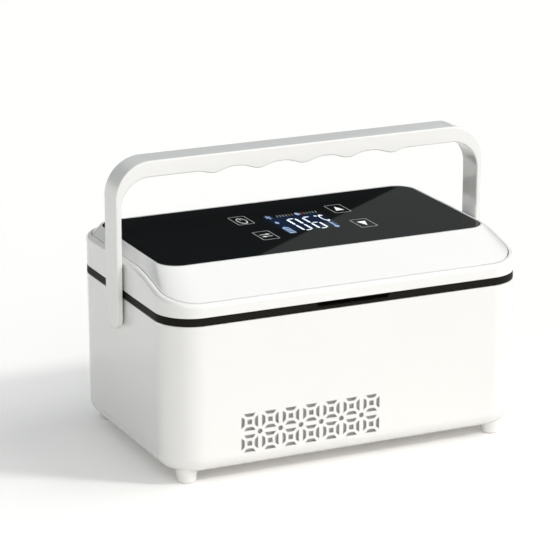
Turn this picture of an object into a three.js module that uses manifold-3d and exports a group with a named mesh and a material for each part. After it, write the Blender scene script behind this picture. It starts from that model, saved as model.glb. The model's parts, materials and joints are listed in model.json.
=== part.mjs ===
// Insulin cooling case: a white box on four feet with a black rim band, a hinged lid under a
// black glass panel, a swinging carrying handle and a fan-cooled Peltier unit below the compartment.
// Millimetres, +Z up, front towards -Y, the ground at Z = 0.

import * as THREE from 'three';
import { mergeGeometries, mergeVertices } from 'three/addons/utils/BufferGeometryUtils.js';
import ManifoldModule from 'manifold-3d';

// Clearances
const fit = 0.3; // between faces that meet
const runningFit = 0.25; // round a pin or shaft that turns

// Case body
const caseLength = 260;
const caseDepth = 162.6;
const caseCorner = 25;
const bodyHeight = 101;
const bodyDraft = 0.95; // how far each wall leans in from the rim to the floor
const bottomFillet = 10.7;
const wall = 2.5;

// Feet
const footHeight = 7.5;
const footTopRadius = 7.3;
const footBottomRadius = 6.35;
const footEdge = 0.8;
const footInsetX = 17;
const footInsetY = 14.3;

// Vent grille in the front wall: cells of four petals round a square eye
const grilleColumns = 7;
const grilleRows = 2;
const cellPitch = 14.75;
const grilleInset = 100.4; // middle of the grille from the left end
const grilleHeight = 24.15; // middle of the grille above the floor's underside
const petalChord = 7.4;
const petalDepth = 2.3;
const petalShoulder = 1.955; // depth at which a petal's flanks turn into its dome
const petalFlank = 1.84; // run of each flank
const petalReach = 5.9; // cell centre to a petal's flat side
const eyeSide = 2.9;
const junctionRadius = 1.6;

// Black rim band on the body's upper edge
const bandHeight = 5.4;
const rimLand = 10; // outer land that the lid closes on
const rimStep = 5; // drop from the outer land to the gasket land
const rimShelf = 14;
const rimPlate = 2.5;
const rimSkirtDepth = 2.5;
const rimSkirtWall = 2.5;
const mouthCorner = 12;
const notchWidth = 54;
const notchHeight = 3.3;
const notchDepth = 8;
const notchSlant = 2.2;

// Cooled compartment
const linerWall = 1;
const linerLip = 2; // liner's inner wall inside the rim's mouth
const linerFlange = 12;
const compartmentDepth = 47.8;
const foamInset = 9;
const rackHeight = 10;
const rackMargin = 2;
const penRadius = 9;
const penPitch = 20;
const penSink = 7; // depth of a pen's channel

// Cooling unit, stacked under the compartment
const coldPlateSide = 60;
const coldPlateThickness = 4;
const peltierSide = 40;
const peltierThickness = 4.2;
const deckThickness = 4;
const deckWindowCorner = 1;
const sinkSide = 90;
const sinkBase = 4;
const finThickness = 1.6;
const finCount = 13;
const fanLift = 6.2; // fan's base above the floor's underside
const fanSide = 60;
const fanThickness = 15;
const fanCorner = 4;
const fanBoreRadius = 28;
const fanPlate = 2.5; // thickness of the motor plate and its struts
const fanStrut = 4;
const rotorHubRadius = 12;
const rotorHubHeight = 10;
const rotorTipGap = 1.2;
const bladeCount = 7;
const bladeThickness = 1.2;
const bladeChord = 13;
const bladePitch = THREE.MathUtils.degToRad(38);
const bladeTwist = THREE.MathUtils.degToRad(14);
const shaftRadius = 1.5;
const shaftLength = 7;

// Posts and bosses moulded into the body
const postRadius = 5;
const postInset = 24;
const boardStandoff = 6;
const standoffRadius = 3;
const standoffMargin = 1; // standoff to the board's edges

// Electronics in the lower chamber
const batteryWidth = 58;
const batteryLength = 72;
const batteryHeight = 20;
const batteryCorner = 9.2; // rounding of the wrap round the outer cells
const batteryInset = 50; // battery's middle from the right end
const boardWidth = 26;
const boardLength = 84;
const boardThickness = 1.6;
const boardInset = 45; // board's middle from the left end
const boardRearGap = 19; // board's rear edge from the rear wall's outside
const jackWidth = 12;
const jackHeight = 11;
const jackLength = 15;
const jackNoseRadius = 5;
const jackBoreRadius = 3.2;
const jackBoreDepth = 10;
const sensorWidth = 8;
const sensorDepth = 4;
const sensorHeight = 14;
const sensorX = 40;
const sensorRise = 18; // sensor's foot above the liner's underside

// Vent cover under the fan
const ventWindow = 80;
const ventFlange = 12;
const ventThickness = 2;
const ventCorner = 6;
const ventSlotCount = 9;
const ventSlotWidth = 3.2;
const ventSlotPitch = 6.6;
const ventSlotLength = 58;

// Screws
const screwHeadRadius = 2.8;
const screwHeadHeight = 1.5;
const screwRadius = 1.4;
const screwGrip = 7; // thread length in the boss

// Lid
const lidRise = 26; // glass above the rim band
const seamFrontRise = 9.2; // seam between frame and cover, above the rim band
const seamSideRise = 21.1;
const seamLevelY = -18; // behind this line the seam runs level
const ledgeDrop = 3.2;
const ledgeInset = 2.6;
const ledgeTurn = 0.3; // share of the ledge at which its rounding turns
const frameWall = 3.2;
const seamGap = 0.7;
const frameFlange = 24; // inner edge of the frame's flange from the case's outside
const frameFlangeThickness = 3;
const coverWall = 1.8;
const coverEdge = 0.5; // rounding of the cover at the seam
const glassSideMargin = 11.7; // glass edge to the case's outside
const glassFrontMargin = 34.05;
const glassRearMargin = 9.05;
const glassCorner = 13.6;
const glassThickness = 2;
const glassRim = 1.5;
const lidPanelThickness = 2;
const lidPanelGap = 1; // inner panel to the step of the rim
const lidPlugDepth = 3;
const lidPlugChamfer = 1;
const lidPlugGap = 3; // lid plug to the rim's mouth
const lidFoamHeight = 11;
const lidFoamInset = 28;
const gasketWidth = 4.5;
const gasketInset = 2.5; // gasket from the step of the rim
const lidScrewInset = 21;
const lidScrewSpread = 70;

// Control panel under the glass
const panelX = 9;
const panelY = 14.2;
const displayLength = 46;
const displayDepth = 42;
const keySpreadX = 74.5;
const keySpreadY = 40;
const keyPadRadius = 4;
const panelBoardLength = 92;
const panelBoardDepth = 58;
const panelBoardThickness = 1.2;

// Lid hinges on the rear
const hingeInset = 60; // hinge's middle from the case's end
const hingeLength = 44;
const knuckleRadius = 3.2;
const hingePinRadius = 1.25;
const lidKnuckleLength = 22;

// Carrying handle
const handleGap = 1.6; // leg to the case's side
const legThickness = 4.1;
const handleWidth = 20.4;
const handleSetBack = 2.8;
const pivotDrop = 12.5; // pivot below the rim band's lower edge
const handleReach = 104.5; // pivot to the top of the grip
const legEnd = 8.3; // pivot to the leg's lower end
const legEndCorner = 7.5;
const gripThickness = 11;
const handleOuterCorner = 25;
const handleInnerCorner = 20;
const handleEdge = 1;
const wavePitch = 33;
const waveCount = 5;
const waveDepth = 2.2;
const waveHollow = 0.9;
const pivotRadius = 4;
const pivotCollarRadius = 7;
const washerRadius = 7;
const washerThickness = 1.5;

// Levels, from the ground up
const bodyBottom = footHeight;
const bodyTop = bodyBottom + bodyHeight;
const floorTop = bodyBottom + wall;
const bandTop = bodyTop + bandHeight;
const gasketLand = bandTop - rimStep;
const linerTop = gasketLand - rimPlate - fit;
const linerFloor = linerTop - compartmentDepth;
const linerUnderside = linerFloor - linerWall;
const coldPlateBottom = linerUnderside - fit - coldPlateThickness;
const peltierBottom = coldPlateBottom - fit - peltierThickness;
const sinkTop = peltierBottom - fit;
const fanBottom = bodyBottom + fanLift;
const finTips = fanBottom + fanThickness + fit;
const deckBottom = sinkTop + fit;
const deckTop = deckBottom + deckThickness;
const lidBottom = bandTop + fit;
const frameFlangeTop = lidBottom + frameFlangeThickness;
const glassTop = bandTop + lidRise;
const coverDeckTop = glassTop - glassThickness - fit;
const coverDeckBottom = coverDeckTop - coverWall;
const lidPanelTop = lidBottom - fit;
const lidPanelBottom = lidPanelTop - lidPanelThickness;
const pivotZ = bodyTop - pivotDrop;

// Places shared by several pieces
const hingeX = caseLength / 2 - hingeInset;
const hingeY = caseDepth / 2 + knuckleRadius + fit;
const hingeZ = bandTop + fit / 2;
const postX = caseLength / 2 - postInset;
const postY = caseDepth / 2 - postInset;
const boardX = boardInset - caseLength / 2;
const boardRear = caseDepth / 2 - boardRearGap;
const batteryX = caseLength / 2 - batteryInset;
const grilleX = grilleInset - caseLength / 2;
const coolingX = grilleX;
const linerInset = rimLand + rimShelf + linerLip;
const rackLength = caseLength - 2 * (linerInset + rackMargin);
const rackDepth = caseDepth - 2 * (linerInset + rackMargin);
const penCount = Math.floor(rackDepth / penPitch);
const glassLength = caseLength - 2 * glassSideMargin;
const glassDepth = caseDepth - glassFrontMargin - glassRearMargin;
const glassY = (glassFrontMargin - glassRearMargin) / 2;
const coverInset = frameWall + seamGap;
const lidScrewPlaces = [-1, 1].flatMap((side) => [-1, 1].map((end) => (
  [end * lidScrewSpread, side * (caseDepth / 2 - lidScrewInset)]
)));
const ventScrewOffset = ventWindow / 2 + ventFlange / 2;
const rearReach = hingeY + knuckleRadius; // rearmost point of the case
const centreShift = (caseDepth / 2 - rearReach) / 2; // brings the middle of the whole depth to Y = 0

// Facets
const cornerSteps = 6;
const lidSideSteps = 12;
const filletSteps = 5;
const roundSteps = 16;
const smallRoundSteps = 8;
const stepsPerWave = 8;
const petalSteps = 2;
const slotEndSteps = 3;
const bladeSections = 4;

const paint = (color, roughness, metalness = 0) => (
  new THREE.MeshStandardMaterial({ color, roughness, metalness })
);
const whiteShell = paint(0xf1efe9, 0.28);
const blackRim = paint(0x1d1b18, 0.45);
const blackGlass = paint(0x0b0d0d, 0.05);
const greyRubber = paint(0x8d8f8e, 0.8);
const whiteFoam = paint(0xe9e7de, 0.95);
const aluminium = paint(0xb7babd, 0.35, 1);
const steel = paint(0x8e9093, 0.3, 1);
const blackPlastic = paint(0x222222, 0.5);
const greenBoard = paint(0x1f5b37, 0.55);
const blueWrap = paint(0x2d5590, 0.4);
const whiteCeramic = paint(0xdad8d2, 0.6);

const wasm = await ManifoldModule();
wasm.setup();

// A closed geometry as a solid that can be cut and joined.
function solid(geometry) {
  const bare = geometry.clone();
  bare.deleteAttribute('normal');
  bare.deleteAttribute('uv');
  const merged = mergeVertices(bare);
  return new wasm.Manifold(new wasm.Mesh({
    numProp: 3,
    vertProperties: new Float32Array(merged.attributes.position.array),
    triVerts: new Uint32Array(merged.index.array),
  }));
}

function surface(body) {
  const facets = body.getMesh();
  const geometry = new THREE.BufferGeometry();
  geometry.setAttribute('position', new THREE.BufferAttribute(facets.vertProperties, 3));
  geometry.setIndex(new THREE.BufferAttribute(facets.triVerts, 1));
  geometry.computeVertexNormals();
  return geometry;
}

const cut = (base, ...tools) => (
  surface(tools.reduce((body, tool) => body.subtract(solid(tool)), solid(base)))
);
const join = (base, ...extras) => (
  surface(extras.reduce((body, extra) => body.add(solid(extra)), solid(base)))
);
const common = (a, b) => surface(solid(a).intersect(solid(b)));

// Several separate solids as one geometry, to use as a single cutting tool.
const together = (geometries) => mergeGeometries(geometries.map((geometry) => {
  const bare = geometry.index ? geometry.toNonIndexed() : geometry.clone();
  bare.deleteAttribute('normal');
  bare.deleteAttribute('uv');
  return bare;
}));

// Anticlockwise rounded rectangle; its two short sides can be split into steps.
function outline(length, depth, corner, { centreY = 0, sideSteps = 1 } = {}) {
  const cornerX = length / 2 - corner;
  const cornerY = depth / 2 - corner;
  const points = [];
  [[1, -1], [1, 1], [-1, 1], [-1, -1]].forEach(([signX, signY], quadrant) => {
    for (let step = 0; step <= cornerSteps; step++) {
      const angle = (quadrant - 1 + step / cornerSteps) * Math.PI / 2;
      points.push(new THREE.Vector2(
        signX * cornerX + corner * Math.cos(angle),
        centreY + signY * cornerY + corner * Math.sin(angle),
      ));
    }
    const endsAtShortSide = quadrant % 2 === 0;
    for (let step = 1; endsAtShortSide && step < sideSteps; step++) {
      const along = THREE.MathUtils.lerp(-cornerY, cornerY, step / sideSteps);
      points.push(new THREE.Vector2(signX * length / 2, centreY + signX * along));
    }
  });
  return points;
}

const caseOutline = (inset, options) => (
  outline(caseLength - 2 * inset, caseDepth - 2 * inset, caseCorner - inset, options)
);

// An outline lifted to one height, or to a height for each of its points.
const ring = (points, height) => points.map((point, index) => (
  new THREE.Vector3(point.x, point.y, Array.isArray(height) ? height[index] : height)
));

// Skin through rings of equal count: capped at both ends, or endless round a closed section.
function skin(rings, endless = false) {
  const count = rings[0].length;
  const faces = [];
  const spans = endless ? rings.length : rings.length - 1;
  for (let span = 0; span < spans; span++) {
    const next = (span + 1) % rings.length;
    for (let index = 0; index < count; index++) {
      const following = (index + 1) % count;
      const a = span * count + index;
      const b = span * count + following;
      const c = next * count + following;
      const d = next * count + index;
      faces.push(a, b, c, a, c, d);
    }
  }
  if (!endless) {
    const last = (rings.length - 1) * count;
    const flat = (points) => points.map((point) => new THREE.Vector2(point.x, point.y));
    for (const [a, b, c] of THREE.ShapeUtils.triangulateShape(flat(rings[0]), [])) {
      faces.push(c, b, a);
    }
    for (const [a, b, c] of THREE.ShapeUtils.triangulateShape(flat(rings.at(-1)), [])) {
      faces.push(last + a, last + b, last + c);
    }
  }
  const geometry = new THREE.BufferGeometry().setFromPoints(rings.flat());
  geometry.setIndex(faces);
  geometry.computeVertexNormals();
  return geometry;
}

// A shape in the ground plane, raised from one level to another.
function prism(points, bottom, top, holes = []) {
  const shape = new THREE.Shape(points);
  shape.holes = holes.map((hole) => new THREE.Path(hole));
  const options = { depth: top - bottom, bevelEnabled: false };
  return new THREE.ExtrudeGeometry(shape, options).translate(0, 0, bottom);
}

// A shape drawn in X and Z, extruded along Y between two depths.
function frontPrism(shape, nearY, farY, curveSegments = 6) {
  const options = { depth: farY - nearY, bevelEnabled: false, curveSegments };
  return new THREE.ExtrudeGeometry(shape, options).rotateX(Math.PI / 2).translate(0, farY, 0);
}

// A shape drawn in Y and Z, extruded along X and centred on X = 0.
function sidePrism(shape, length, curveSegments = 6) {
  const options = { depth: length, bevelEnabled: false, curveSegments };
  return new THREE.ExtrudeGeometry(shape, options)
    .translate(0, 0, -length / 2).rotateY(Math.PI / 2).rotateX(Math.PI / 2);
}

const block = (sizeX, sizeY, sizeZ, x, y, bottom) => (
  new THREE.BoxGeometry(sizeX, sizeY, sizeZ).translate(x, y, bottom + sizeZ / 2)
);

const upright = (radius, bottom, top, x = 0, y = 0, steps = smallRoundSteps) => (
  new THREE.CylinderGeometry(radius, radius, top - bottom, steps)
    .rotateX(Math.PI / 2).translate(x, y, (bottom + top) / 2)
);

const crossways = (radius, length, steps = smallRoundSteps) => (
  new THREE.CylinderGeometry(radius, radius, length, steps).rotateZ(Math.PI / 2)
);

function part(name, geometry, material, [x, y, z] = [0, 0, 0]) {
  const mesh = new THREE.Mesh(geometry, material);
  mesh.name = name;
  mesh.position.set(x, y, z);
  return mesh;
}

// How far the body's outside has leaned in at a height.
const lean = (z) => bodyDraft * (1 - (z - bodyBottom) / bodyHeight);

// Rings of the body's skin from its flat bottom to a top level, offset inwards by an inset.
function bodyRings(inset, top) {
  const fillet = bottomFillet - inset;
  const bottom = bodyBottom + inset;
  const rings = [];
  for (let step = 0; step <= filletSteps; step++) {
    const angle = (step / filletSteps) * Math.PI / 2;
    const z = bottom + fillet * (1 - Math.cos(angle));
    const reach = inset + lean(z) + fillet * (1 - Math.sin(angle));
    rings.push(ring(caseOutline(reach), z));
  }
  rings.push(ring(caseOutline(inset + lean(top)), top));
  return rings;
}

// The outer form of the body, grown by a clearance.
const bodyForm = (clearance) => skin(bodyRings(-clearance, bodyTop));

// One petal slot: a flat side towards the cell's border and a shallow dome towards its eye.
function petalShape() {
  const half = petalChord / 2;
  const shoulder = half - petalFlank;
  const shoulderZ = petalReach - petalShoulder;
  const crownZ = petalReach - 2 * petalDepth + petalShoulder;
  const shape = new THREE.Shape();
  shape.moveTo(-half, petalReach);
  shape.lineTo(-shoulder, shoulderZ);
  shape.quadraticCurveTo(0, crownZ, shoulder, shoulderZ);
  shape.lineTo(half, petalReach);
  shape.closePath();
  return shape;
}

// All the openings of the vent grille as one cutting tool.
function grilleTool() {
  const near = -caseDepth / 2 - wall;
  const far = -caseDepth / 2 + 2 * wall + bodyDraft;
  const petal = frontPrism(petalShape(), near, far, petalSteps);
  const openings = [];
  for (let row = 0; row < grilleRows; row++) {
    for (let column = 0; column < grilleColumns; column++) {
      const x = grilleX + (column - (grilleColumns - 1) / 2) * cellPitch;
      const z = bodyBottom + grilleHeight + ((grilleRows - 1) / 2 - row) * cellPitch;
      for (let turn = 0; turn < 4; turn++) {
        openings.push(petal.clone().rotateY(turn * Math.PI / 2).translate(x, 0, z));
      }
      const eye = new THREE.BoxGeometry(eyeSide, far - near, eyeSide);
      openings.push(eye.translate(x, (near + far) / 2, z));
      if (row > 0 && column > 0) {
        const junction = new THREE.CylinderGeometry(
          junctionRadius, junctionRadius, far - near, smallRoundSteps,
        );
        openings.push(junction.translate(x - cellPitch / 2, (near + far) / 2, z + cellPitch / 2));
      }
    }
  }
  return together(openings);
}

// White tub with the front grille, corner posts, board bosses, and holes for pivots, vent and jack.
function bodyShell() {
  const tub = skin([...bodyRings(0, bodyTop), ...bodyRings(wall, bodyTop).reverse()]);
  const rooted = floorTop - wall / 2;
  const posts = [];
  for (const x of [-postX, postX]) {
    for (const y of [-postY, postY]) {
      posts.push(upright(postRadius, rooted, deckBottom - fit, x, y, roundSteps));
    }
  }
  const standoffs = boardCorners().map(([x, y]) => (
    upright(standoffRadius, rooted, floorTop + boardStandoff - fit, x, y)
  ));
  const deckScrewHoles = [-postX, postX].flatMap((x) => [-postY, postY].map((y) => (
    upright(screwRadius + fit, deckBottom - fit - screwGrip - fit, deckBottom, x, y)
  )));
  const ventScrewHoles = ventScrewPlaces().map(([x, y]) => (
    upright(screwRadius + fit, bodyBottom - wall, floorTop + wall, x, y)
  ));
  const vent = block(ventWindow, ventWindow, 3 * wall, coolingX, 0, bodyBottom - wall);
  const pivots = crossways(pivotRadius + runningFit, caseLength + 2 * wall, roundSteps)
    .translate(0, handleSetBack, pivotZ);
  const jackHole = new THREE.CylinderGeometry(
    jackNoseRadius + fit, jackNoseRadius + fit, 4 * wall, roundSteps,
  ).translate(boardX, caseDepth / 2 - wall, jackZ());
  const openings = [vent, pivots, jackHole, ...deckScrewHoles, ...ventScrewHoles, grilleTool()];
  return cut(join(tub, ...posts, ...standoffs), ...openings);
}

// A short tapered foot whose top is shaped to the rounded lower edge of the body.
function foot(x, y) {
  const top = footHeight + bottomFillet / 2;
  const profile = [
    [0, 0], [footBottomRadius - footEdge, 0], [footBottomRadius, footEdge],
    [footTopRadius, footHeight], [footTopRadius, top], [0, top],
  ].map(([radius, z]) => new THREE.Vector2(radius, z));
  const peg = new THREE.LatheGeometry(profile, roundSteps).rotateX(Math.PI / 2).translate(x, y, 0);
  return cut(peg, bodyForm(fit));
}

function feet() {
  const x = caseLength / 2 - footInsetX;
  const y = caseDepth / 2 - footInsetY;
  return [
    part('foot_front_left', foot(-x, -y), whiteShell),
    part('foot_front_right', foot(x, -y), whiteShell),
    part('foot_rear_left', foot(-x, y), whiteShell),
    part('foot_rear_right', foot(x, y), whiteShell),
  ];
}

// One hinge knuckle: a barrel on the hinge axis with a web to the piece that carries it.
function knuckle(x, length, webBottom, webTop) {
  const rootY = caseDepth / 2 - wall / 2;
  const barrel = crossways(knuckleRadius, length, roundSteps).translate(x, hingeY, hingeZ);
  const web = block(length, hingeY - rootY, webTop - webBottom, x, (hingeY + rootY) / 2, webBottom);
  return join(barrel, web);
}

const hingeMiddles = [-hingeX, hingeX];
const hingeBores = () => hingeMiddles.map((x) => (
  crossways(hingePinRadius + runningFit, hingeLength + 2 * wall).translate(x, hingeY, hingeZ)
));

// Black rim: outer land under the lid, lowered gasket land, skirt inside the body, finger notch
// and hinge ears.
function rimFrame() {
  const mouth = rimLand + rimShelf;
  const plateBottom = gasketLand - rimPlate;
  const skirtOutside = wall + fit;
  const skirtInside = skirtOutside + rimSkirtWall;
  const seat = bodyTop + fit;
  const mouthOutline = outline(caseLength - 2 * mouth, caseDepth - 2 * mouth, mouthCorner);
  const band = skin([
    ring(caseOutline(0), seat),
    ring(caseOutline(0), bandTop),
    ring(caseOutline(rimLand), bandTop),
    ring(caseOutline(rimLand), gasketLand),
    ring(mouthOutline, gasketLand),
    ring(mouthOutline, plateBottom),
    ring(caseOutline(skirtInside), plateBottom),
    ring(caseOutline(skirtInside), plateBottom - rimSkirtDepth),
    ring(caseOutline(skirtOutside), plateBottom - rimSkirtDepth),
    ring(caseOutline(skirtOutside), seat),
  ], true);
  const notch = new THREE.Shape();
  notch.moveTo(-notchWidth / 2 + notchSlant, bandTop - notchHeight);
  notch.lineTo(notchWidth / 2 - notchSlant, bandTop - notchHeight);
  notch.lineTo(notchWidth / 2 + notchSlant, bandTop + notchHeight);
  notch.lineTo(-notchWidth / 2 - notchSlant, bandTop + notchHeight);
  notch.closePath();
  const notchTool = frontPrism(notch, -caseDepth / 2 - wall, -caseDepth / 2 + notchDepth);
  const earLength = (hingeLength - lidKnuckleLength) / 2 - fit;
  const earOffset = (hingeLength - earLength) / 2;
  const ears = hingeMiddles.flatMap((x) => [-1, 1].map((side) => (
    knuckle(x + side * earOffset, earLength, hingeZ - knuckleRadius, bandTop)
  )));
  return cut(join(band, ...ears), notchTool, ...hingeBores());
}

function hingePins() {
  const length = hingeLength - 2 * fit;
  return ['left', 'right'].map((side, index) => part(
    `hinge_pin_${side}`,
    crossways(hingePinRadius, length),
    steel,
    [hingeMiddles[index], hingeY, hingeZ],
  ));
}

const linerOutline = (offset) => outline(
  caseLength - 2 * (linerInset - offset),
  caseDepth - 2 * (linerInset - offset),
  mouthCorner + offset,
);

// Drawn aluminium tray with a flange that hangs under the rim.
function innerLiner() {
  const flangeBottom = linerTop - linerWall;
  return skin([
    ring(linerOutline(linerWall), linerUnderside),
    ring(linerOutline(linerWall), flangeBottom),
    ring(linerOutline(linerFlange), flangeBottom),
    ring(linerOutline(linerFlange), linerTop),
    ring(linerOutline(0), linerTop),
    ring(linerOutline(0), linerFloor),
  ]);
}

// Lift-out rack with round-bottomed channels for injection pens.
function penRack() {
  const halfChord = Math.sqrt(penRadius ** 2 - (penRadius - penSink) ** 2);
  const sweep = Math.acos((penRadius - penSink) / penRadius);
  const shape = new THREE.Shape();
  shape.moveTo(-rackDepth / 2, 0);
  shape.lineTo(rackDepth / 2, 0);
  shape.lineTo(rackDepth / 2, rackHeight);
  for (let pen = penCount - 1; pen >= 0; pen--) {
    const middle = (pen - (penCount - 1) / 2) * penPitch;
    const centreZ = rackHeight - penSink + penRadius;
    shape.lineTo(middle + halfChord, rackHeight);
    shape.absarc(middle, centreZ, penRadius, -Math.PI / 2 + sweep, -Math.PI / 2 - sweep, true);
  }
  shape.lineTo(-rackDepth / 2, rackHeight);
  shape.closePath();
  const channels = sidePrism(shape, rackLength, smallRoundSteps).translate(0, 0, linerFloor + fit);
  const rounded = prism(linerOutline(-rackMargin), linerFloor, linerFloor + 2 * rackHeight);
  return common(channels, rounded);
}

const sensorY = () => caseDepth / 2 - linerInset + linerWall + fit + sensorDepth / 2;

// Insulating foam tub round the liner, open below the cold plate, with a pocket for the sensor.
function insulation() {
  const bottom = deckTop + fit;
  const top = linerTop - linerWall - fit;
  const tub = skin([
    ring(caseOutline(foamInset), bottom),
    ring(caseOutline(foamInset), top),
    ring(linerOutline(linerWall + fit), top),
    ring(linerOutline(linerWall + fit), linerUnderside - fit),
  ]);
  const windowSide = coldPlateSide + 2 * fit;
  const windowHeight = linerUnderside - bottom + 2 * wall;
  const window = block(windowSide, windowSide, windowHeight, coolingX, 0, bottom - wall);
  const pocket = block(
    sensorWidth + 2 * fit, sensorDepth + 2 * fit, sensorHeight + 2 * fit,
    sensorX, sensorY(), linerUnderside + sensorRise - fit,
  );
  return cut(tub, window, pocket);
}

// Deck between the compartment and the lower chamber, screwed to the corner posts.
function midDeck() {
  const edge = caseOutline(wall + bodyDraft + fit);
  const side = peltierSide + 4 * fit;
  const window = outline(side, side, deckWindowCorner).map((point) => (
    new THREE.Vector2(point.x + coolingX, point.y)
  ));
  const plate = prism(edge, deckBottom, deckTop, [window]);
  const tools = [];
  for (const x of [-postX, postX]) {
    for (const y of [-postY, postY]) {
      tools.push(upright(screwRadius + fit, deckBottom - wall, deckTop + wall, x, y));
      tools.push(upright(screwHeadRadius + fit, deckTop - screwHeadHeight - fit, deckTop + wall, x, y));
    }
  }
  return cut(plate, ...tools);
}

// Extruded comb: a base plate with fins hanging from it, running front to back.
function heatSink() {
  const pitch = (sinkSide - finThickness) / (finCount - 1);
  const shape = new THREE.Shape();
  shape.moveTo(-sinkSide / 2, sinkTop);
  for (let fin = 0; fin < finCount; fin++) {
    const left = -sinkSide / 2 + fin * pitch;
    const right = left + finThickness;
    if (fin > 0) {
      shape.lineTo(left, sinkTop - sinkBase);
    }
    shape.lineTo(left, finTips);
    shape.lineTo(right, finTips);
    if (fin < finCount - 1) {
      shape.lineTo(right, sinkTop - sinkBase);
    }
  }
  shape.lineTo(sinkSide / 2, sinkTop);
  shape.closePath();
  return frontPrism(shape, -sinkSide / 2, sinkSide / 2);
}

// Square fan housing with a motor plate on four struts and the rotor's shaft; its base at Z = 0.
function fanFrame() {
  const bore = new THREE.Path().absarc(0, 0, fanBoreRadius, 0, 2 * Math.PI).getPoints(roundSteps);
  const housing = prism(outline(fanSide, fanSide, fanCorner), 0, fanThickness, [bore]);
  const strutLength = 2 * fanBoreRadius + fanStrut / 2;
  const plate = upright(rotorHubRadius, 0, fanPlate, 0, 0, roundSteps);
  const struts = [
    block(strutLength, fanStrut, fanPlate, 0, 0, 0),
    block(fanStrut, strutLength, fanPlate, 0, 0, 0),
  ];
  const shaft = upright(shaftRadius, fanPlate / 2, fanPlate + shaftLength);
  return join(housing, plate, ...struts, shaft);
}

// Rotor: a hub with twisted blades, bored for the shaft; the underside of its hub at Z = 0.
function fanRotor() {
  const tip = fanBoreRadius - rotorTipGap;
  const root = rotorHubRadius - bladeThickness;
  const rings = [];
  for (let section = 0; section < bladeSections; section++) {
    const share = section / (bladeSections - 1);
    const radius = THREE.MathUtils.lerp(root, tip, share);
    const angle = bladePitch - bladeTwist * share;
    const along = new THREE.Vector2(bladeChord / 2, 0).rotateAround(new THREE.Vector2(), angle);
    const across = new THREE.Vector2(0, bladeThickness / 2).rotateAround(new THREE.Vector2(), angle);
    const corners = [[-1, -1], [1, -1], [1, 1], [-1, 1]].map(([chord, thick]) => (
      along.clone().multiplyScalar(chord).addScaledVector(across, thick)
    ));
    rings.push(corners.map((corner) => new THREE.Vector3(corner.x, corner.y, radius)));
  }
  const bladeForm = skin(rings).rotateX(-Math.PI / 2).rotateY(Math.PI);
  const blades = [];
  for (let blade = 0; blade < bladeCount; blade++) {
    const turn = (blade / bladeCount) * 2 * Math.PI;
    blades.push(bladeForm.clone().rotateZ(turn).translate(0, 0, rotorHubHeight / 2));
  }
  const hub = upright(rotorHubRadius, 0, rotorHubHeight, 0, 0, roundSteps);
  const bore = upright(shaftRadius + runningFit, -fit, shaftLength + fit);
  return cut(join(hub, ...blades), bore);
}

const ventScrewPlaces = () => [-1, 1].flatMap((sideX) => [-1, 1].map((sideY) => (
  [coolingX + sideX * ventScrewOffset, sideY * ventScrewOffset]
)));

// Slotted cover over the fan's intake, screwed to the underside of the floor.
function ventCover() {
  const top = bodyBottom - fit;
  const side = ventWindow + 2 * ventFlange;
  const slots = [];
  for (let slot = 0; slot < ventSlotCount; slot++) {
    const y = (slot - (ventSlotCount - 1) / 2) * ventSlotPitch;
    const half = ventSlotWidth / 2;
    const slotShape = new THREE.Path();
    slotShape.absarc(ventSlotLength / 2 - half, y, half, -Math.PI / 2, Math.PI / 2);
    slotShape.absarc(half - ventSlotLength / 2, y, half, Math.PI / 2, 1.5 * Math.PI);
    slots.push(slotShape.getPoints(slotEndSteps));
  }
  const plate = prism(outline(side, side, ventCorner), top - ventThickness, top, slots);
  const holes = ventScrewPlaces().map(([x, y]) => (
    upright(screwRadius + fit, bodyBottom - 4 * wall, bodyBottom + wall, x, y)
  ));
  return cut(plate.translate(coolingX, 0, 0), ...holes);
}

// Cheese-head screw with its head's underside at Z = 0 and the shank upwards.
function screw(length) {
  const profile = [
    [0, -screwHeadHeight], [screwHeadRadius, -screwHeadHeight], [screwHeadRadius, 0],
    [screwRadius, 0], [screwRadius, length], [0, length],
  ].map(([radius, z]) => new THREE.Vector2(radius, z));
  return new THREE.LatheGeometry(profile, smallRoundSteps).rotateX(Math.PI / 2);
}

function ventScrews() {
  const headSeat = bodyBottom - fit - ventThickness - fit;
  const length = floorTop - headSeat;
  return ventScrewPlaces().map(([x, y], index) => (
    part(`vent_screw_${index + 1}`, screw(length), steel, [x, y, headSeat])
  ));
}

function deckScrews() {
  const headSeat = deckTop - screwHeadHeight;
  const length = headSeat - (deckBottom - fit - screwGrip);
  const places = [-postX, postX].flatMap((x) => [-postY, postY].map((y) => [x, y]));
  return places.map(([x, y], index) => (
    part(`deck_screw_${index + 1}`, screw(length).rotateX(Math.PI), steel, [x, y, headSeat])
  ));
}

// Flat pack of three cells side by side under one wrap.
function batteryPack() {
  const half = batteryHeight / 2;
  const corner = Math.min(batteryCorner, half - fit);
  const shape = new THREE.Shape(outline(batteryWidth, batteryHeight, corner));
  return frontPrism(shape, -batteryLength / 2, batteryLength / 2)
    .translate(batteryX, 0, floorTop + fit + half);
}

const standoffInset = standoffRadius + standoffMargin;
const boardCorners = () => [-1, 1].flatMap((side) => [0, 1].map((end) => [
  boardX + side * (boardWidth / 2 - standoffInset),
  boardRear - standoffInset - end * (boardLength - 2 * standoffInset),
]));

const jackZ = () => floorTop + boardStandoff + boardThickness + fit + jackHeight / 2;

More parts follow.
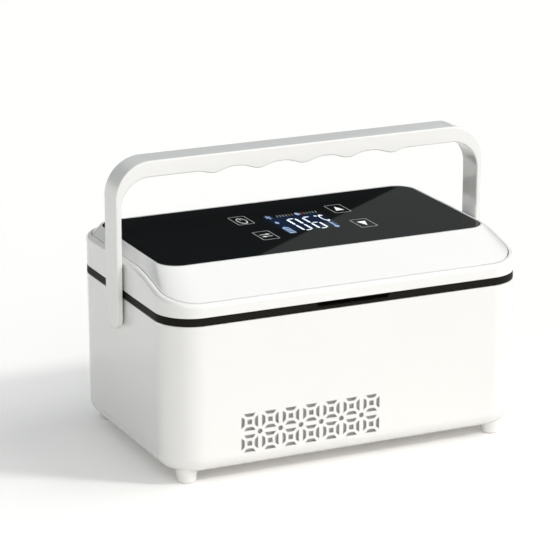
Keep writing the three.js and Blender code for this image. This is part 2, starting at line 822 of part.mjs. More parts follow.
// Charging jack: a block on the board with a round nose in the rear wall and a socket bored into it.
function dcInlet() {
  const noseEnd = caseDepth / 2 - lean(jackZ()) - fit;
  const blockEnd = noseEnd - lean(jackZ()) - wall - 2 * fit;
  const noseLength = noseEnd - blockEnd + jackLength / 2;
  const housing = block(
    jackWidth, jackLength, jackHeight,
    boardX, blockEnd - jackLength / 2, jackZ() - jackHeight / 2,
  );
  const nose = new THREE.CylinderGeometry(jackNoseRadius, jackNoseRadius, noseLength, roundSteps)
    .translate(boardX, noseEnd - noseLength / 2, jackZ());
  const socket = new THREE.CylinderGeometry(jackBoreRadius, jackBoreRadius, 2 * jackBoreDepth, roundSteps)
    .translate(boardX, noseEnd, jackZ());
  return cut(join(housing, nose), socket);
}

const lidOutline = (inset) => caseOutline(inset, { sideSteps: lidSideSteps });
const glassOutline = (offset) => outline(
  glassLength + 2 * offset,
  glassDepth + 2 * offset,
  glassCorner + offset,
  { centreY: glassY, sideSteps: lidSideSteps },
);

// Height of the seam at each point of the lid's outline: low along the front, sweeping up round
// the front corners in an S, and level along the rest of the sides and the rear.
const seamLevel = lidOutline(coverInset).map((point) => {
  const radius = caseCorner - coverInset;
  const cornerX = caseLength / 2 - caseCorner;
  const cornerY = caseDepth / 2 - caseCorner;
  const turned = Math.atan2(
    Math.max(0, Math.abs(point.x) - cornerX),
    Math.max(0, -cornerY - point.y),
  );
  const arc = point.y < -cornerY ? radius * turned : radius * Math.PI / 2;
  const travel = arc + Math.max(0, point.y + cornerY);
  const run = radius * Math.PI / 2 + seamLevelY + cornerY;
  const share = THREE.MathUtils.smoothstep(travel, 0, run);
  return bandTop + THREE.MathUtils.lerp(seamFrontRise, seamSideRise, share);
});
const offSeam = (offset) => seamLevel.map((level) => level + offset);

// Lower half of the lid: an outer wall under a rounded ledge, a flange, and the hinges' middle
// knuckles.
function lidFrame() {
  const wallRing = skin([
    ring(lidOutline(0), lidBottom),
    ring(lidOutline(0), offSeam(-ledgeDrop)),
    ring(lidOutline(ledgeInset * ledgeTurn), offSeam(-ledgeDrop * ledgeTurn)),
    ring(lidOutline(ledgeInset), seamLevel),
    ring(lidOutline(frameWall), seamLevel),
    ring(lidOutline(frameWall), frameFlangeTop),
    ring(lidOutline(frameFlange), frameFlangeTop),
    ring(lidOutline(frameFlange), lidBottom),
  ], true);
  const knuckles = hingeMiddles.map((x) => (
    knuckle(x, lidKnuckleLength, lidBottom, hingeZ + knuckleRadius)
  ));
  const screwHoles = lidScrewPlaces.map(([x, y]) => (
    upright(screwRadius + fit, lidBottom - wall, frameFlangeTop + wall, x, y)
  ));
  return cut(join(wallRing, ...knuckles), ...hingeBores(), ...screwHoles);
}

const keyPlaces = {
  power: [panelX - keySpreadX / 2, panelY + keySpreadY / 2],
  mode: [panelX - keySpreadX / 2, panelY - keySpreadY / 2],
  up: [panelX + keySpreadX / 2, panelY + keySpreadY / 2],
  down: [panelX + keySpreadX / 2, panelY - keySpreadY / 2],
};

// Upper half of the lid: slopes from the seam to a rim round the glass, a recessed deck under the
// glass with openings for the display and the key pads, and a skirt inside the frame.
function lidCover() {
  const skirtBottom = frameFlangeTop + fit;
  const skirtInside = coverInset + coverWall;
  const shell = skin([
    ring(glassOutline(0), coverDeckBottom),
    ring(lidOutline(skirtInside), offSeam(-coverWall / 2)),
    ring(lidOutline(skirtInside), skirtBottom),
    ring(lidOutline(coverInset), skirtBottom),
    ring(lidOutline(coverInset), seamLevel),
    ring(lidOutline(coverInset + coverEdge), offSeam(coverEdge)),
    ring(glassOutline(glassRim), glassTop),
    ring(glassOutline(fit), glassTop),
    ring(glassOutline(fit), coverDeckTop),
  ]);
  const window = block(
    displayLength + 2 * fit, displayDepth + 2 * fit, 3 * coverWall,
    panelX, panelY, coverDeckBottom - coverWall,
  );
  const padHoles = Object.values(keyPlaces).map(([x, y]) => (
    upright(keyPadRadius + fit, coverDeckBottom - coverWall, coverDeckTop + coverWall, x, y)
  ));
  return cut(shell, window, ...padHoles);
}

// Pads of conductive foam between the board and the glass, one behind each touch key.
function keyPads() {
  const bottom = coverDeckBottom;
  return Object.entries(keyPlaces).map(([key, [x, y]]) => (
    part(`key_pad_${key}`, upright(keyPadRadius, bottom, coverDeckTop, x, y), greyRubber)
  ));
}

// Inner panel of the lid: a plate screwed under the frame's flange with a shallow plug for the mouth.
function lidPanel() {
  const plug = rimLand + rimShelf + lidPlugGap;
  const edge = rimLand + lidPanelGap;
  const plugOutline = (inset) => (
    outline(caseLength - 2 * inset, caseDepth - 2 * inset, mouthCorner)
  );
  const plate = skin([
    ring(plugOutline(plug + lidPlugChamfer), lidPanelBottom - lidPlugDepth),
    ring(plugOutline(plug), lidPanelBottom - lidPlugDepth + lidPlugChamfer),
    ring(plugOutline(plug), lidPanelBottom),
    ring(caseOutline(edge), lidPanelBottom),
    ring(caseOutline(edge), lidPanelTop),
  ]);
  const holes = lidScrewPlaces.map(([x, y]) => (
    upright(screwRadius + fit, lidPanelBottom - wall, lidPanelTop + wall, x, y)
  ));
  return cut(plate, ...holes);
}

function lidScrews() {
  const headSeat = lidPanelBottom - fit;
  const length = frameFlangeTop - headSeat;
  return lidScrewPlaces.map(([x, y], index) => (
    part(`lid_screw_${index + 1}`, screw(length), steel, [x, y, headSeat])
  ));
}

// Insulating block on top of the inner panel, under the slopes of the cover.
function lidFoam() {
  const edge = outline(caseLength - 2 * lidFoamInset, caseDepth - 2 * lidFoamInset, mouthCorner);
  return prism(edge, lidBottom, lidBottom + lidFoamHeight);
}

function lidGasket() {
  const outer = rimLand + gasketInset;
  const inner = outer + gasketWidth;
  return skin([
    ring(caseOutline(outer), gasketLand + fit),
    ring(caseOutline(outer), lidPanelBottom - fit),
    ring(caseOutline(inner), lidPanelBottom - fit),
    ring(caseOutline(inner), gasketLand + fit),
  ], true);
}

// Depth of the finger waves on the underside of the grip: soft cusps between wide hollows.
function gripWave(x) {
  const cusp = Math.abs(Math.cos(Math.PI * x / wavePitch)) ** 3;
  const outside = Math.max(0, Math.abs(x) / wavePitch - (waveCount - 1) / 2);
  const hollow = (1 - cusp) * Math.cos(Math.PI * outside) ** 2;
  return waveHollow * hollow - waveDepth * cusp;
}

// One moulded bail, drawn about its pivot: two flat legs, rounded corners and a grip with finger waves.
function handle() {
  const inner = caseLength / 2 + handleGap;
  const outer = inner + legThickness;
  const under = handleReach - gripThickness;
  const outerX = outer - handleOuterCorner;
  const outerZ = handleReach - handleOuterCorner;
  const innerX = inner - handleInnerCorner;
  const innerZ = under - handleInnerCorner;
  const waveEnd = waveCount / 2 * wavePitch;
  const waveSteps = waveCount * stepsPerWave;
  const shape = new THREE.Shape();
  shape.moveTo(outer, -legEnd);
  shape.lineTo(outer, outerZ);
  shape.absarc(outerX, outerZ, handleOuterCorner, 0, Math.PI / 2);
  shape.lineTo(-outerX, handleReach);
  shape.absarc(-outerX, outerZ, handleOuterCorner, Math.PI / 2, Math.PI);
  shape.lineTo(-outer, -legEnd);
  shape.lineTo(-inner, -legEnd);
  shape.lineTo(-inner, innerZ);
  shape.absarc(-innerX, innerZ, handleInnerCorner, Math.PI, Math.PI / 2, true);
  for (let step = 0; step <= waveSteps; step++) {
    const x = THREE.MathUtils.lerp(-waveEnd, waveEnd, step / waveSteps);
    shape.lineTo(x, under + gripWave(x));
  }
  shape.lineTo(innerX, under);
  shape.absarc(innerX, innerZ, handleInnerCorner, Math.PI / 2, 0, true);
  shape.lineTo(inner, -legEnd);
  shape.closePath();
  const bail = new THREE.ExtrudeGeometry(shape, {
    depth: handleWidth - 2 * handleEdge,
    curveSegments: cornerSteps,
    bevelThickness: handleEdge,
    bevelSize: handleEdge,
    bevelOffset: -handleEdge,
    bevelSegments: 1,
  }).translate(0, 0, handleEdge - handleWidth / 2).rotateX(Math.PI / 2);

  const half = handleWidth / 2;
  const margin = 2 * handleEdge;
  const sideView = new THREE.Shape();
  sideView.moveTo(-half + legEndCorner, -legEnd);
  sideView.lineTo(half - legEndCorner, -legEnd);
  sideView.absarc(half - legEndCorner, legEndCorner - legEnd, legEndCorner, -Math.PI / 2, 0);
  sideView.lineTo(half + margin, legEndCorner - legEnd);
  sideView.lineTo(half + margin, handleReach + margin);
  sideView.lineTo(-half - margin, handleReach + margin);
  sideView.lineTo(-half - margin, legEndCorner - legEnd);
  sideView.absarc(legEndCorner - half, legEndCorner - legEnd, legEndCorner, Math.PI, 1.5 * Math.PI);
  const trimmed = common(bail, sidePrism(sideView, 2 * outer + margin));

  const fittings = [];
  const bores = [];
  for (const side of [-1, 1]) {
    const collarFace = caseLength / 2 + fit;
    const studEnd = caseLength / 2 - wall - bodyDraft - fit;
    const root = inner + legThickness / 2;
    fittings.push(crossways(pivotCollarRadius, root - collarFace, roundSteps)
      .translate(side * (root + collarFace) / 2, 0, 0));
    fittings.push(crossways(pivotRadius, root - studEnd, roundSteps)
      .translate(side * (root + studEnd) / 2, 0, 0));
    bores.push(crossways(screwRadius + fit, 2 * (screwGrip - washerThickness))
      .translate(side * studEnd, 0, 0));
  }
  return cut(join(trimmed, ...fittings), ...bores);
}

// Washer and screw that keep each leg's stud in the body wall, on the inside.
function pivotFasteners() {
  const studEnd = caseLength / 2 - wall - bodyDraft - fit;
  const washerMiddle = studEnd - fit - washerThickness / 2;
  const headSeat = studEnd - 2 * fit - washerThickness;
  const grip = screwGrip - 3 * fit;
  const washer = cut(
    crossways(washerRadius, washerThickness, roundSteps),
    crossways(screwRadius + fit, 2 * washerThickness),
  );
  return [['left', -1], ['right', 1]].flatMap(([name, side]) => {
    const turned = screw(grip).rotateY(side * Math.PI / 2);
    return [
      part(`pivot_washer_${name}`, washer, steel, [side * washerMiddle, 0, 0]),
      part(`pivot_screw_${name}`, turned, steel, [side * headSeat, 0, 0]),
    ];
  });
}

const body = new THREE.Group();
body.add(
  part('body_shell', bodyShell(), whiteShell),
  ...feet(),
  part('rim_frame', rimFrame(), blackRim),
  ...hingePins(),
  part('inner_liner', innerLiner(), aluminium),
  part('pen_rack', penRack(), whiteShell),
  part('insulation_foam', insulation(), whiteFoam),
  part('temperature_sensor', block(
    sensorWidth, sensorDepth, sensorHeight,
    sensorX, sensorY(), linerUnderside + sensorRise,
  ), blackPlastic),
  part('cold_plate', block(
    coldPlateSide, coldPlateSide, coldPlateThickness, coolingX, 0, coldPlateBottom,
  ), aluminium),
  part('peltier_module', block(
    peltierSide, peltierSide, peltierThickness, coolingX, 0, peltierBottom,
  ), whiteCeramic),
  part('mid_deck', midDeck(), whiteShell),
  ...deckScrews(),
  part('heat_sink', heatSink(), aluminium, [coolingX, 0, 0]),
  part('fan_frame', fanFrame(), blackPlastic, [coolingX, 0, fanBottom]),
  part('vent_cover', ventCover(), whiteShell),
  ...ventScrews(),
  part('battery_pack', batteryPack(), blueWrap),
  part('control_board', block(
    boardWidth, boardLength, boardThickness,
    boardX, boardRear - boardLength / 2, floorTop + boardStandoff,
  ), greenBoard),
  part('dc_inlet', dcInlet(), blackPlastic),
);

const fan = new THREE.Group();
fan.position.set(coolingX, 0, fanBottom + fanPlate + fit);
fan.add(part('fan_rotor', fanRotor(), blackPlastic));

const lid = new THREE.Group();
lid.add(
  part('lid_frame', lidFrame(), whiteShell),
  part('lid_cover', lidCover(), whiteShell),
  part('glass_panel', prism(glassOutline(0), glassTop - glassThickness, glassTop), blackGlass),
  part('display_module', block(
    displayLength, displayDepth, coverDeckTop - coverDeckBottom, panelX, panelY, coverDeckBottom,
  ), blackPlastic),
  ...keyPads(),
  part('panel_board', block(
    panelBoardLength, panelBoardDepth, panelBoardThickness,
    panelX, panelY, coverDeckBottom - fit - panelBoardThickness,
  ), greenBoard),
  part('lid_foam', lidFoam(), whiteFoam),
  part('lid_panel', lidPanel(), whiteShell),
  ...lidScrews(),
  part('lid_gasket', lidGasket(), greyRubber),
);

const bail = new THREE.Group();
bail.position.set(0, handleSetBack, pivotZ);
bail.add(part('handle', handle(), whiteShell), ...pivotFasteners());

const coolingCase = new THREE.Group();
coolingCase.position.y = centreShift;
coolingCase.add(body, fan, lid, bail);

export default coolingCase;
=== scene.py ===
"""Looks of the insulin cooling case: finer meshes and finishes round its frame, floor, light, camera."""

import json
from math import atan2, copysign, cos, pi, radians, sin

import bmesh
import bpy
from mathutils import Matrix, Vector
from mathutils.bvhtree import BVHTree

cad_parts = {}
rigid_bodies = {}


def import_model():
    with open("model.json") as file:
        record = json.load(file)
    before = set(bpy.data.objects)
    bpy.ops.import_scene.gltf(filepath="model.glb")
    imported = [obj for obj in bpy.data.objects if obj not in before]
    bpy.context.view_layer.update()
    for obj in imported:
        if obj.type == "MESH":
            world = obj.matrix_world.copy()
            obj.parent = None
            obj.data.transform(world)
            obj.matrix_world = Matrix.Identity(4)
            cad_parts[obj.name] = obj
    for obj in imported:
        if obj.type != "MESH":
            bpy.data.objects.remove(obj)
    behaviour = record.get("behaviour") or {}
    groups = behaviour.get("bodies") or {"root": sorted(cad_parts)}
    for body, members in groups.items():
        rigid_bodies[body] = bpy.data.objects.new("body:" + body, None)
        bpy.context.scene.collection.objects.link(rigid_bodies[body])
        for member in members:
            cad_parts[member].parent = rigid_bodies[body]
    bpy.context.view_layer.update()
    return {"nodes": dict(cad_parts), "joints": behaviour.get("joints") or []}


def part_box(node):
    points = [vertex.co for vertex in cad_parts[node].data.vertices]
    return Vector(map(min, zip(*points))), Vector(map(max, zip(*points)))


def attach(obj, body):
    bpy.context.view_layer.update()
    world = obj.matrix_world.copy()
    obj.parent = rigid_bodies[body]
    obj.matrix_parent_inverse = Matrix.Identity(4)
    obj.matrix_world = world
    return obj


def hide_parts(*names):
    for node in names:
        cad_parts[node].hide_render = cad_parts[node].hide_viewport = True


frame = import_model()


# Body shell: the deep white tub, injection moulded in glossy ABS with a slight draft and a wide
# rounding under its walls. Its front is thinned low down and pierced by a grille of petal cells, and
# posts for the deck and the board are moulded inside.

CASE_CORNER = 0.025
BODY_DRAFT = 0.00095
BOTTOM_FILLET = 0.0107
SHELL_WALL = 0.0025
CORNER_STEPS = 24
FILLET_STEPS = 12
TOUCH = 0.0003  # gap between pieces that meet
HAIR = 1e-6  # lengths below this count as nothing
RING_SPREAD = 0.5  # keeps level rings apart while they are bridged

shell_low, shell_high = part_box("body_shell")
case_length = shell_high.x - shell_low.x
case_depth = shell_high.y - shell_low.y
case_middle = (shell_low.y + shell_high.y) / 2
body_bottom = shell_low.z
body_top = shell_high.z


def round_off(bm, geom, radius, segments, affect="VERTICES", clamp=False):
    """Rounds corners or edges."""
    return bmesh.ops.bevel(
        bm, geom=geom, offset=radius, affect=affect, segments=segments, profile=0.5, material=-1,
        clamp_overlap=clamp,
    )


def outline(length, depth, corner, middle=(0.0, case_middle), side_cuts=0, same_corner=False):
    """Maker of level edge loops inset from a rounded rectangle."""

    def ring(bm, inset, z):
        known = set(bm.edges)
        radius = corner if same_corner else corner - inset
        size = (length - 2 * inset, depth - 2 * inset, 1)
        place = Matrix.LocRotScale((*middle, z), None, size)
        corners = bmesh.ops.create_grid(bm, x_segments=1, y_segments=1, size=0.5, matrix=place)["verts"]
        face = round_off(bm, corners, radius, CORNER_STEPS)["verts"][0].link_faces[0]
        bmesh.ops.delete(bm, geom=[face], context="FACES_ONLY")
        if side_cuts:
            straight = size[1] - 2 * radius - TOUCH
            sides = [
                edge for edge in bm.edges
                if edge not in known and abs(edge.verts[0].co.y - edge.verts[1].co.y) > straight
            ]
            bmesh.ops.subdivide_edges(bm, edges=sides, cuts=side_cuts)
        return [edge for edge in bm.edges if edge not in known]

    return ring


case_ring = outline(case_length, case_depth, CASE_CORNER)


def loft(bm, steps, endless=False):
    """Skins rings given by maker, inset and level, which is a height or a function of x and y."""
    rings = [ring(bm, inset, number * RING_SPREAD) for number, (ring, inset, _) in enumerate(steps)]
    for near, far in zip(rings, rings[1:]):
        bmesh.ops.bridge_loops(bm, edges=near + far)
    if endless:
        bmesh.ops.bridge_loops(bm, edges=rings[-1] + rings[0])
    else:
        bmesh.ops.edgeloop_fill(bm, edges=rings[0])
        bmesh.ops.edgeloop_fill(bm, edges=rings[-1])
    for ring, (_, _, level) in zip(rings, steps):
        for vert in {vert for edge in ring for vert in edge.verts}:
            vert.co.z = level(vert.co.x, vert.co.y) if callable(level) else level
    bmesh.ops.recalc_face_normals(bm, faces=bm.faces)


def fresh(shape, *values, **settings):
    """New bmesh with one shape in it."""
    bm = bmesh.new()
    shape(bm, *values, **settings)
    return bm


def quarter_turn(steps):
    """Cosine and sine at even steps from 0 to 90 degrees."""
    angles = [step / steps * pi / 2 for step in range(steps + 1)]
    return [(cos(angle), sin(angle)) for angle in angles]


def tub_steps(inset):
    """Steps of the drafted tub from its flat bottom to its upper edge, offset inwards."""
    fillet = BOTTOM_FILLET - inset
    steps = []
    for cosine, sine in quarter_turn(FILLET_STEPS):
        z = body_bottom + inset + fillet * (1 - cosine)
        lean = BODY_DRAFT * (1 - (z - body_bottom) / (body_top - body_bottom))
        steps.append((case_ring, inset + lean + fillet * (1 - sine), z))
    return [*steps, (case_ring, inset, body_top)]


def facing(way):
    """Turn that points the Z axis a way."""
    return Vector(way).to_track_quat("Z", "Y").to_matrix().to_4x4()


def rod(bm, radius, axis, place, start, end, segments=32):
    """Closed cylinder along the x, y or z axis through a place, from a start to an end."""
    near, far = Vector(place), Vector(place)
    setattr(near, axis, start)
    setattr(far, axis, end)
    bmesh.ops.create_cone(
        bm, cap_ends=True, segments=segments, radius1=radius, radius2=radius,
        depth=(far - near).length, matrix=Matrix.Translation((near + far) / 2) @ facing(far - near),
    )


def block(bm, low, high):
    """Closed box between two corners."""
    low, high = Vector(low), Vector(high)
    place = Matrix.LocRotScale((low + high) / 2, None, high - low)
    bmesh.ops.create_cube(bm, size=1, matrix=place)


def verts_of(parts):
    """Corners among the parts of a mesh."""
    return [part for part in parts if isinstance(part, bmesh.types.BMVert)]


def push(bm, faces, way):
    """Extrudes flat faces into closed solids."""
    moved = bmesh.ops.extrude_face_region(bm, geom=faces)["geom"]
    bmesh.ops.translate(bm, verts=verts_of(moved), vec=way)
    bmesh.ops.recalc_face_normals(bm, faces=bm.faces)


def new_object(name, data):
    """Object in the scene."""
    made = bpy.data.objects.new(name, data)
    bpy.context.scene.collection.objects.link(made)
    return made


def combine(bm, tool, operation="DIFFERENCE"):
    """Cuts a tool out of a mesh, or joins it on, into a new bmesh."""
    objects = []
    for source in (bm, tool):
        mesh = bpy.data.meshes.new("step")
        source.to_mesh(mesh)
        source.free()
        objects.append(new_object("step", mesh))
    change = objects[0].modifiers.new("change", "BOOLEAN")
    change.operation = operation
    change.object = objects[1]
    change.solver = "EXACT"
    depsgraph = bpy.context.evaluated_depsgraph_get()
    result = bmesh.new()
    result.from_mesh(objects[0].evaluated_get(depsgraph).data)
    bpy.data.batch_remove([done.data for done in objects] + objects)
    return result


def edges_among(bm, test):
    """Edges with both ends at points that pass a test."""
    return [edge for edge in bm.edges if all(test(vert.co) for vert in edge.verts)]


def soften(bm, width, segments=2, angle=50, among=lambda point: True):
    """Rounds the edges that are sharper than an angle and pass a test."""
    sharp = [
        edge for edge in edges_among(bm, among)
        if edge.is_manifold and edge.calc_face_angle(0) > radians(angle)
    ]
    round_off(bm, sharp, width, segments, "EDGES", clamp=True)


def finish_piece(name, bm, material, slot, body="case", sharp=35, extra=False):
    """Makes a bmesh a piece on a body, which stands for a CAD node unless it is an extra."""
    mesh = bpy.data.meshes.new(name if extra else f"{name}_fine")
    bm.to_mesh(mesh)
    bm.free()
    mesh.materials.append(material)
    mesh.shade_smooth()
    mesh.set_sharp_from_angle(angle=radians(sharp))
    piece = new_object(mesh.name, mesh)
    piece.modifiers.new("even_shading", "WEIGHTED_NORMAL").keep_sharp = True
    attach(piece, body)
    if not extra:
        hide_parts(name)


def node_maker(tree):
    """Maker of nodes, which gives their outputs, and setter of inputs, by order or name."""

    def feed(taker, *ordered, **named):
        named = {key.replace("_", " "): value for key, value in named.items()}
        for key, value in (*enumerate(ordered), *named.items()):
            if isinstance(value, bpy.types.NodeSocket):
                tree.links.new(value, taker.inputs[key])
            else:
                taker.inputs[key].default_value = value

    def node(kind, *ordered, **settings):
        made = tree.nodes.new(f"ShaderNode{kind}")
        for key in [key for key in settings if hasattr(made, key)]:
            setattr(made, key, settings.pop(key))
        feed(made, *ordered, **settings)
        return made.outputs

    return node, feed


def new_material(name):
    """Node material with its shader, a maker of nodes and a setter of inputs."""
    material = bpy.data.materials.new(name)
    material.use_nodes = True
    tree = material.node_tree
    return material, tree.nodes["Principled BSDF"], *node_maker(tree)


def tones(node, share, first, second):
    """Colour that goes from one tone to another with a share."""
    ramp = node("ValToRGB", share)
    for stop, colour in zip(ramp["Color"].node.color_ramp.elements, (first, second)):
        stop.color = (*colour, 1)
    return ramp["Color"]


GLOSS_DRIFT = 0.15
GRAIN_HEIGHT = 0.0002


def moulded(name, colour, roughness, grain, depth, shade=0.02, **coat):
    """Moulded plastic: a fine mould grain, and a faint drift of tone and gloss."""
    material, shader, node, feed = new_material(name)
    place = node("TexCoord")["Object"]
    drift = node("TexNoise", place, Scale=18, Detail=3)["Fac"]
    skin = node("TexNoise", place, Scale=grain, Detail=2)["Fac"]
    glossy = roughness * (1 - GLOSS_DRIFT)
    dull = roughness * (1 + GLOSS_DRIFT)
    feed(
        shader, Base_Color=tones(node, drift, [c * (1 - shade) for c in colour], colour),
        Roughness=node("MapRange", drift, To_Min=glossy, To_Max=dull)["Result"],
        Normal=node("Bump", Height=skin, Strength=depth, Distance=GRAIN_HEIGHT)["Normal"],
        **coat,
    )
    return material


white_abs = moulded(
    "white_abs", (0.86, 0.855, 0.84), 0.16, 2600, 0.04, Coat_Weight=0.4, Coat_Roughness=0.03,
)

GRILLE_COLUMNS = 7
GRILLE_ROWS = 2
CELL_PITCH = 0.01475
GRILLE_HEIGHT = 0.02415
PETAL_HALF = 0.0041
PETAL_SHOULDER = 0.0025
PETAL_SHOULDER_DEPTH = 0.00235
PETAL_DEPTH = 0.0026
PETAL_REACH = 0.006
PETAL_ROUNDING = 0.0006
PETAL_STEPS = 5
EYE_HALF = 0.0017
JUNCTION_RADIUS = 0.00175
GRILLE_SKIN = 0.0009
GRILLE_MARGIN = 0.005


def middle_of(name):
    """Middle of a CAD node's box."""
    low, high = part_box(name)
    return (low + high) / 2


def copy_all(bm, places):
    """Copies a mesh to places given by matrices, and gives the corners that it had before."""
    parts = bm.verts[:] + bm.edges[:] + bm.faces[:]
    for place in places:
        copy = bmesh.ops.duplicate(bm, geom=parts)["geom"]
        bmesh.ops.transform(bm, matrix=place, verts=verts_of(copy))
    return verts_of(parts)


def spaced(count, pitch):
    """Places at an even pitch, centred on zero."""
    return [(number - (count - 1) / 2) * pitch for number in range(count)]


front_near = shell_low.y - SHELL_WALL
front_far = shell_low.y + 2 * SHELL_WALL
fan = middle_of("fan_frame")
grille_z = body_bottom + GRILLE_HEIGHT

openings = bmesh.new()
petal_corners = [
    openings.verts.new((x, front_near, PETAL_REACH - depth)) for x, depth in (
        (-PETAL_HALF, 0), (-PETAL_SHOULDER, PETAL_SHOULDER_DEPTH), (0, PETAL_DEPTH),
        (PETAL_SHOULDER, PETAL_SHOULDER_DEPTH), (PETAL_HALF, 0),
    )
]
openings.faces.new(petal_corners)
round_off(openings, petal_corners[1:4], PETAL_ROUNDING, PETAL_STEPS)
push(openings, openings.faces[:], (0, front_far - front_near, 0))
copy_all(openings, [Matrix.Rotation(quarter * pi / 2, 4, "Y") for quarter in (1, 2, 3)])
block(openings, (-EYE_HALF, front_near, -EYE_HALF), (EYE_HALF, front_far, EYE_HALF))
columns = [fan.x + across for across in spaced(GRILLE_COLUMNS, CELL_PITCH)]
rows = [grille_z - down for down in spaced(GRILLE_ROWS, CELL_PITCH)]
first_cell = copy_all(openings, [Matrix.Translation((x, 0, z)) for z in rows for x in columns])
bmesh.ops.delete(openings, geom=first_cell, context="VERTS")
for z in rows[1:]:
    for x in columns[1:]:
        junction = (x - CELL_PITCH / 2, 0, z + CELL_PITCH / 2)
        rod(openings, JUNCTION_RADIUS, "y", junction, front_near, front_far)

VENT_WINDOW = 0.08
JACK_HOLE = 0.0053
STUD_HOLE = 0.00425
SCREW_HOLE = 0.0017
SCREW_NUMBERS = (1, 2, 3, 4)


def screw_holes(bm, kind, bottom, top):
    """Upright holes for the four screws of a kind."""
    for number in SCREW_NUMBERS:
        rod(bm, SCREW_HOLE, "z", middle_of(f"{kind}_screw_{number}"), bottom, top)


under_floor = body_bottom - SHELL_WALL
over_floor = body_bottom + 2 * SHELL_WALL
block(
    openings, (fan.x - VENT_WINDOW / 2, fan.y - VENT_WINDOW / 2, under_floor),
    (fan.x + VENT_WINDOW / 2, fan.y + VENT_WINDOW / 2, over_floor),
)
screw_holes(openings, "vent", under_floor, over_floor)
inlet = middle_of("dc_inlet")
rod(openings, JACK_HOLE, "y", inlet, shell_high.y - 3 * SHELL_WALL, shell_high.y + SHELL_WALL)
joint_places = {joint["name"]: Vector(joint["pos_m"]) for joint in frame["joints"]}
pivot = joint_places["handle_swing"]
for outer, inner in ((shell_low.x, 1), (shell_high.x, -1)):
    rod(openings, STUD_HOLE, "x", pivot, outer - inner * SHELL_WALL, outer + inner * 3 * SHELL_WALL)

POST_RADIUS = 0.005
STANDOFF_RADIUS = 0.003
STANDOFF_INSET = 0.004
deck_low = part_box("mid_deck")[0]
board_low, board_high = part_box("control_board")
rooted = body_bottom + SHELL_WALL / 2
posts = bmesh.new()
for number in SCREW_NUMBERS:
    place = middle_of(f"deck_screw_{number}")
    screw_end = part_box(f"deck_screw_{number}")[0].z
    rod(posts, POST_RADIUS, "z", place, rooted, deck_low.z - TOUCH)
    rod(openings, SCREW_HOLE, "z", place, screw_end - TOUCH, deck_low.z + TOUCH)
for x in (board_low.x + STANDOFF_INSET, board_high.x - STANDOFF_INSET):
    for y in (board_low.y + STANDOFF_INSET, board_high.y - STANDOFF_INSET):
        rod(posts, STANDOFF_RADIUS, "z", (x, y, 0), rooted, board_low.z - TOUCH)

shell = fresh(loft, tub_steps(0) + tub_steps(SHELL_WALL)[::-1])
outside = shell.copy()
shell = combine(shell, posts, "UNION")
grille_half = GRILLE_COLUMNS * CELL_PITCH / 2 + GRILLE_MARGIN
grille_rise = GRILLE_ROWS * CELL_PITCH / 2
grille_back = shell_low.y + BODY_DRAFT + GRILLE_SKIN
pocket_bottom = grille_z - grille_rise
pocket_top = grille_z + grille_rise + GRILLE_MARGIN
shell = combine(shell, fresh(
    block, (fan.x - grille_half, grille_back, pocket_bottom), (fan.x + grille_half, front_far, pocket_top),
))
shell = combine(shell, openings)
finish_piece("body_shell", shell, white_abs, "white_shell")


# Dust screen: a sheet of pale grey woven mesh that lies in the thinned pocket behind the grille. Only
# its weave shows, through the openings.

SCREEN_MARGIN = 0.0005
SCREEN_GAP = 0.0006
SCREEN_THICKNESS = 0.0006
WEAVE_PITCH = 0.0008
WEAVE_HEIGHT = 0.0002


def patterned(name, texture, roughness, depth, height, **settings):
    """Sheet with a regular pattern in its colour and its relief."""
    material, shader, node, feed = new_material(name)
    pattern = node(texture, node("TexCoord")["Object"], **settings)
    bump = node("Bump", Height=pattern["Fac"], Strength=depth, Distance=height)
    feed(shader, Base_Color=pattern["Color"], Roughness=roughness, Normal=bump["Normal"])
    return material


screen_grey = patterned(
    "screen_grey", "TexChecker", 0.7, 0.4, WEAVE_HEIGHT, Scale=1 / WEAVE_PITCH,
    Color1=(0.46, 0.46, 0.45, 1), Color2=(0.33, 0.33, 0.325, 1),
)
screen_y = grille_back + SCREEN_GAP
screen_half = grille_half - SCREEN_MARGIN
screen = fresh(
    block, (fan.x - screen_half, screen_y, pocket_bottom + SCREEN_MARGIN),
    (fan.x + screen_half, screen_y + SCREEN_THICKNESS, pocket_top - SCREEN_MARGIN),
)
soften(screen, SCREEN_THICKNESS / 4)
finish_piece("grille_screen", screen, screen_grey, "grey_rubber", extra=True)


# Feet: four short tapered pegs of the same white plastic, moulded with a small round at the ground
# and seated against the rounded lower edge of the body.

FOOT_TOP_RADIUS = 0.0073
FOOT_BOTTOM_RADIUS = 0.00635
FOOT_ROUND = 0.0012
FOOT_SEAT = 0.0001
TURNED_STEPS = 4


def turned(bm, profile, rounds, steps=48):
    """Spins a profile of radius and height about the Z axis, with some corners rounded."""
    corners = [bm.verts.new((radius, 0, z)) for radius, z in profile]
    for pair in zip(corners, corners[1:]):
        bm.edges.new(pair)
    for number, radius in rounds.items():
        round_off(bm, [corners[number]], radius, TURNED_STEPS)
    bmesh.ops.spin(
        bm, geom=bm.verts[:] + bm.edges[:], cent=(0, 0, 0), axis=(0, 0, 1), angle=2 * pi,
        steps=steps, use_merge=True,
    )
    bmesh.ops.remove_doubles(bm, verts=bm.verts, dist=HAIR)
    bmesh.ops.recalc_face_normals(bm, faces=bm.faces)


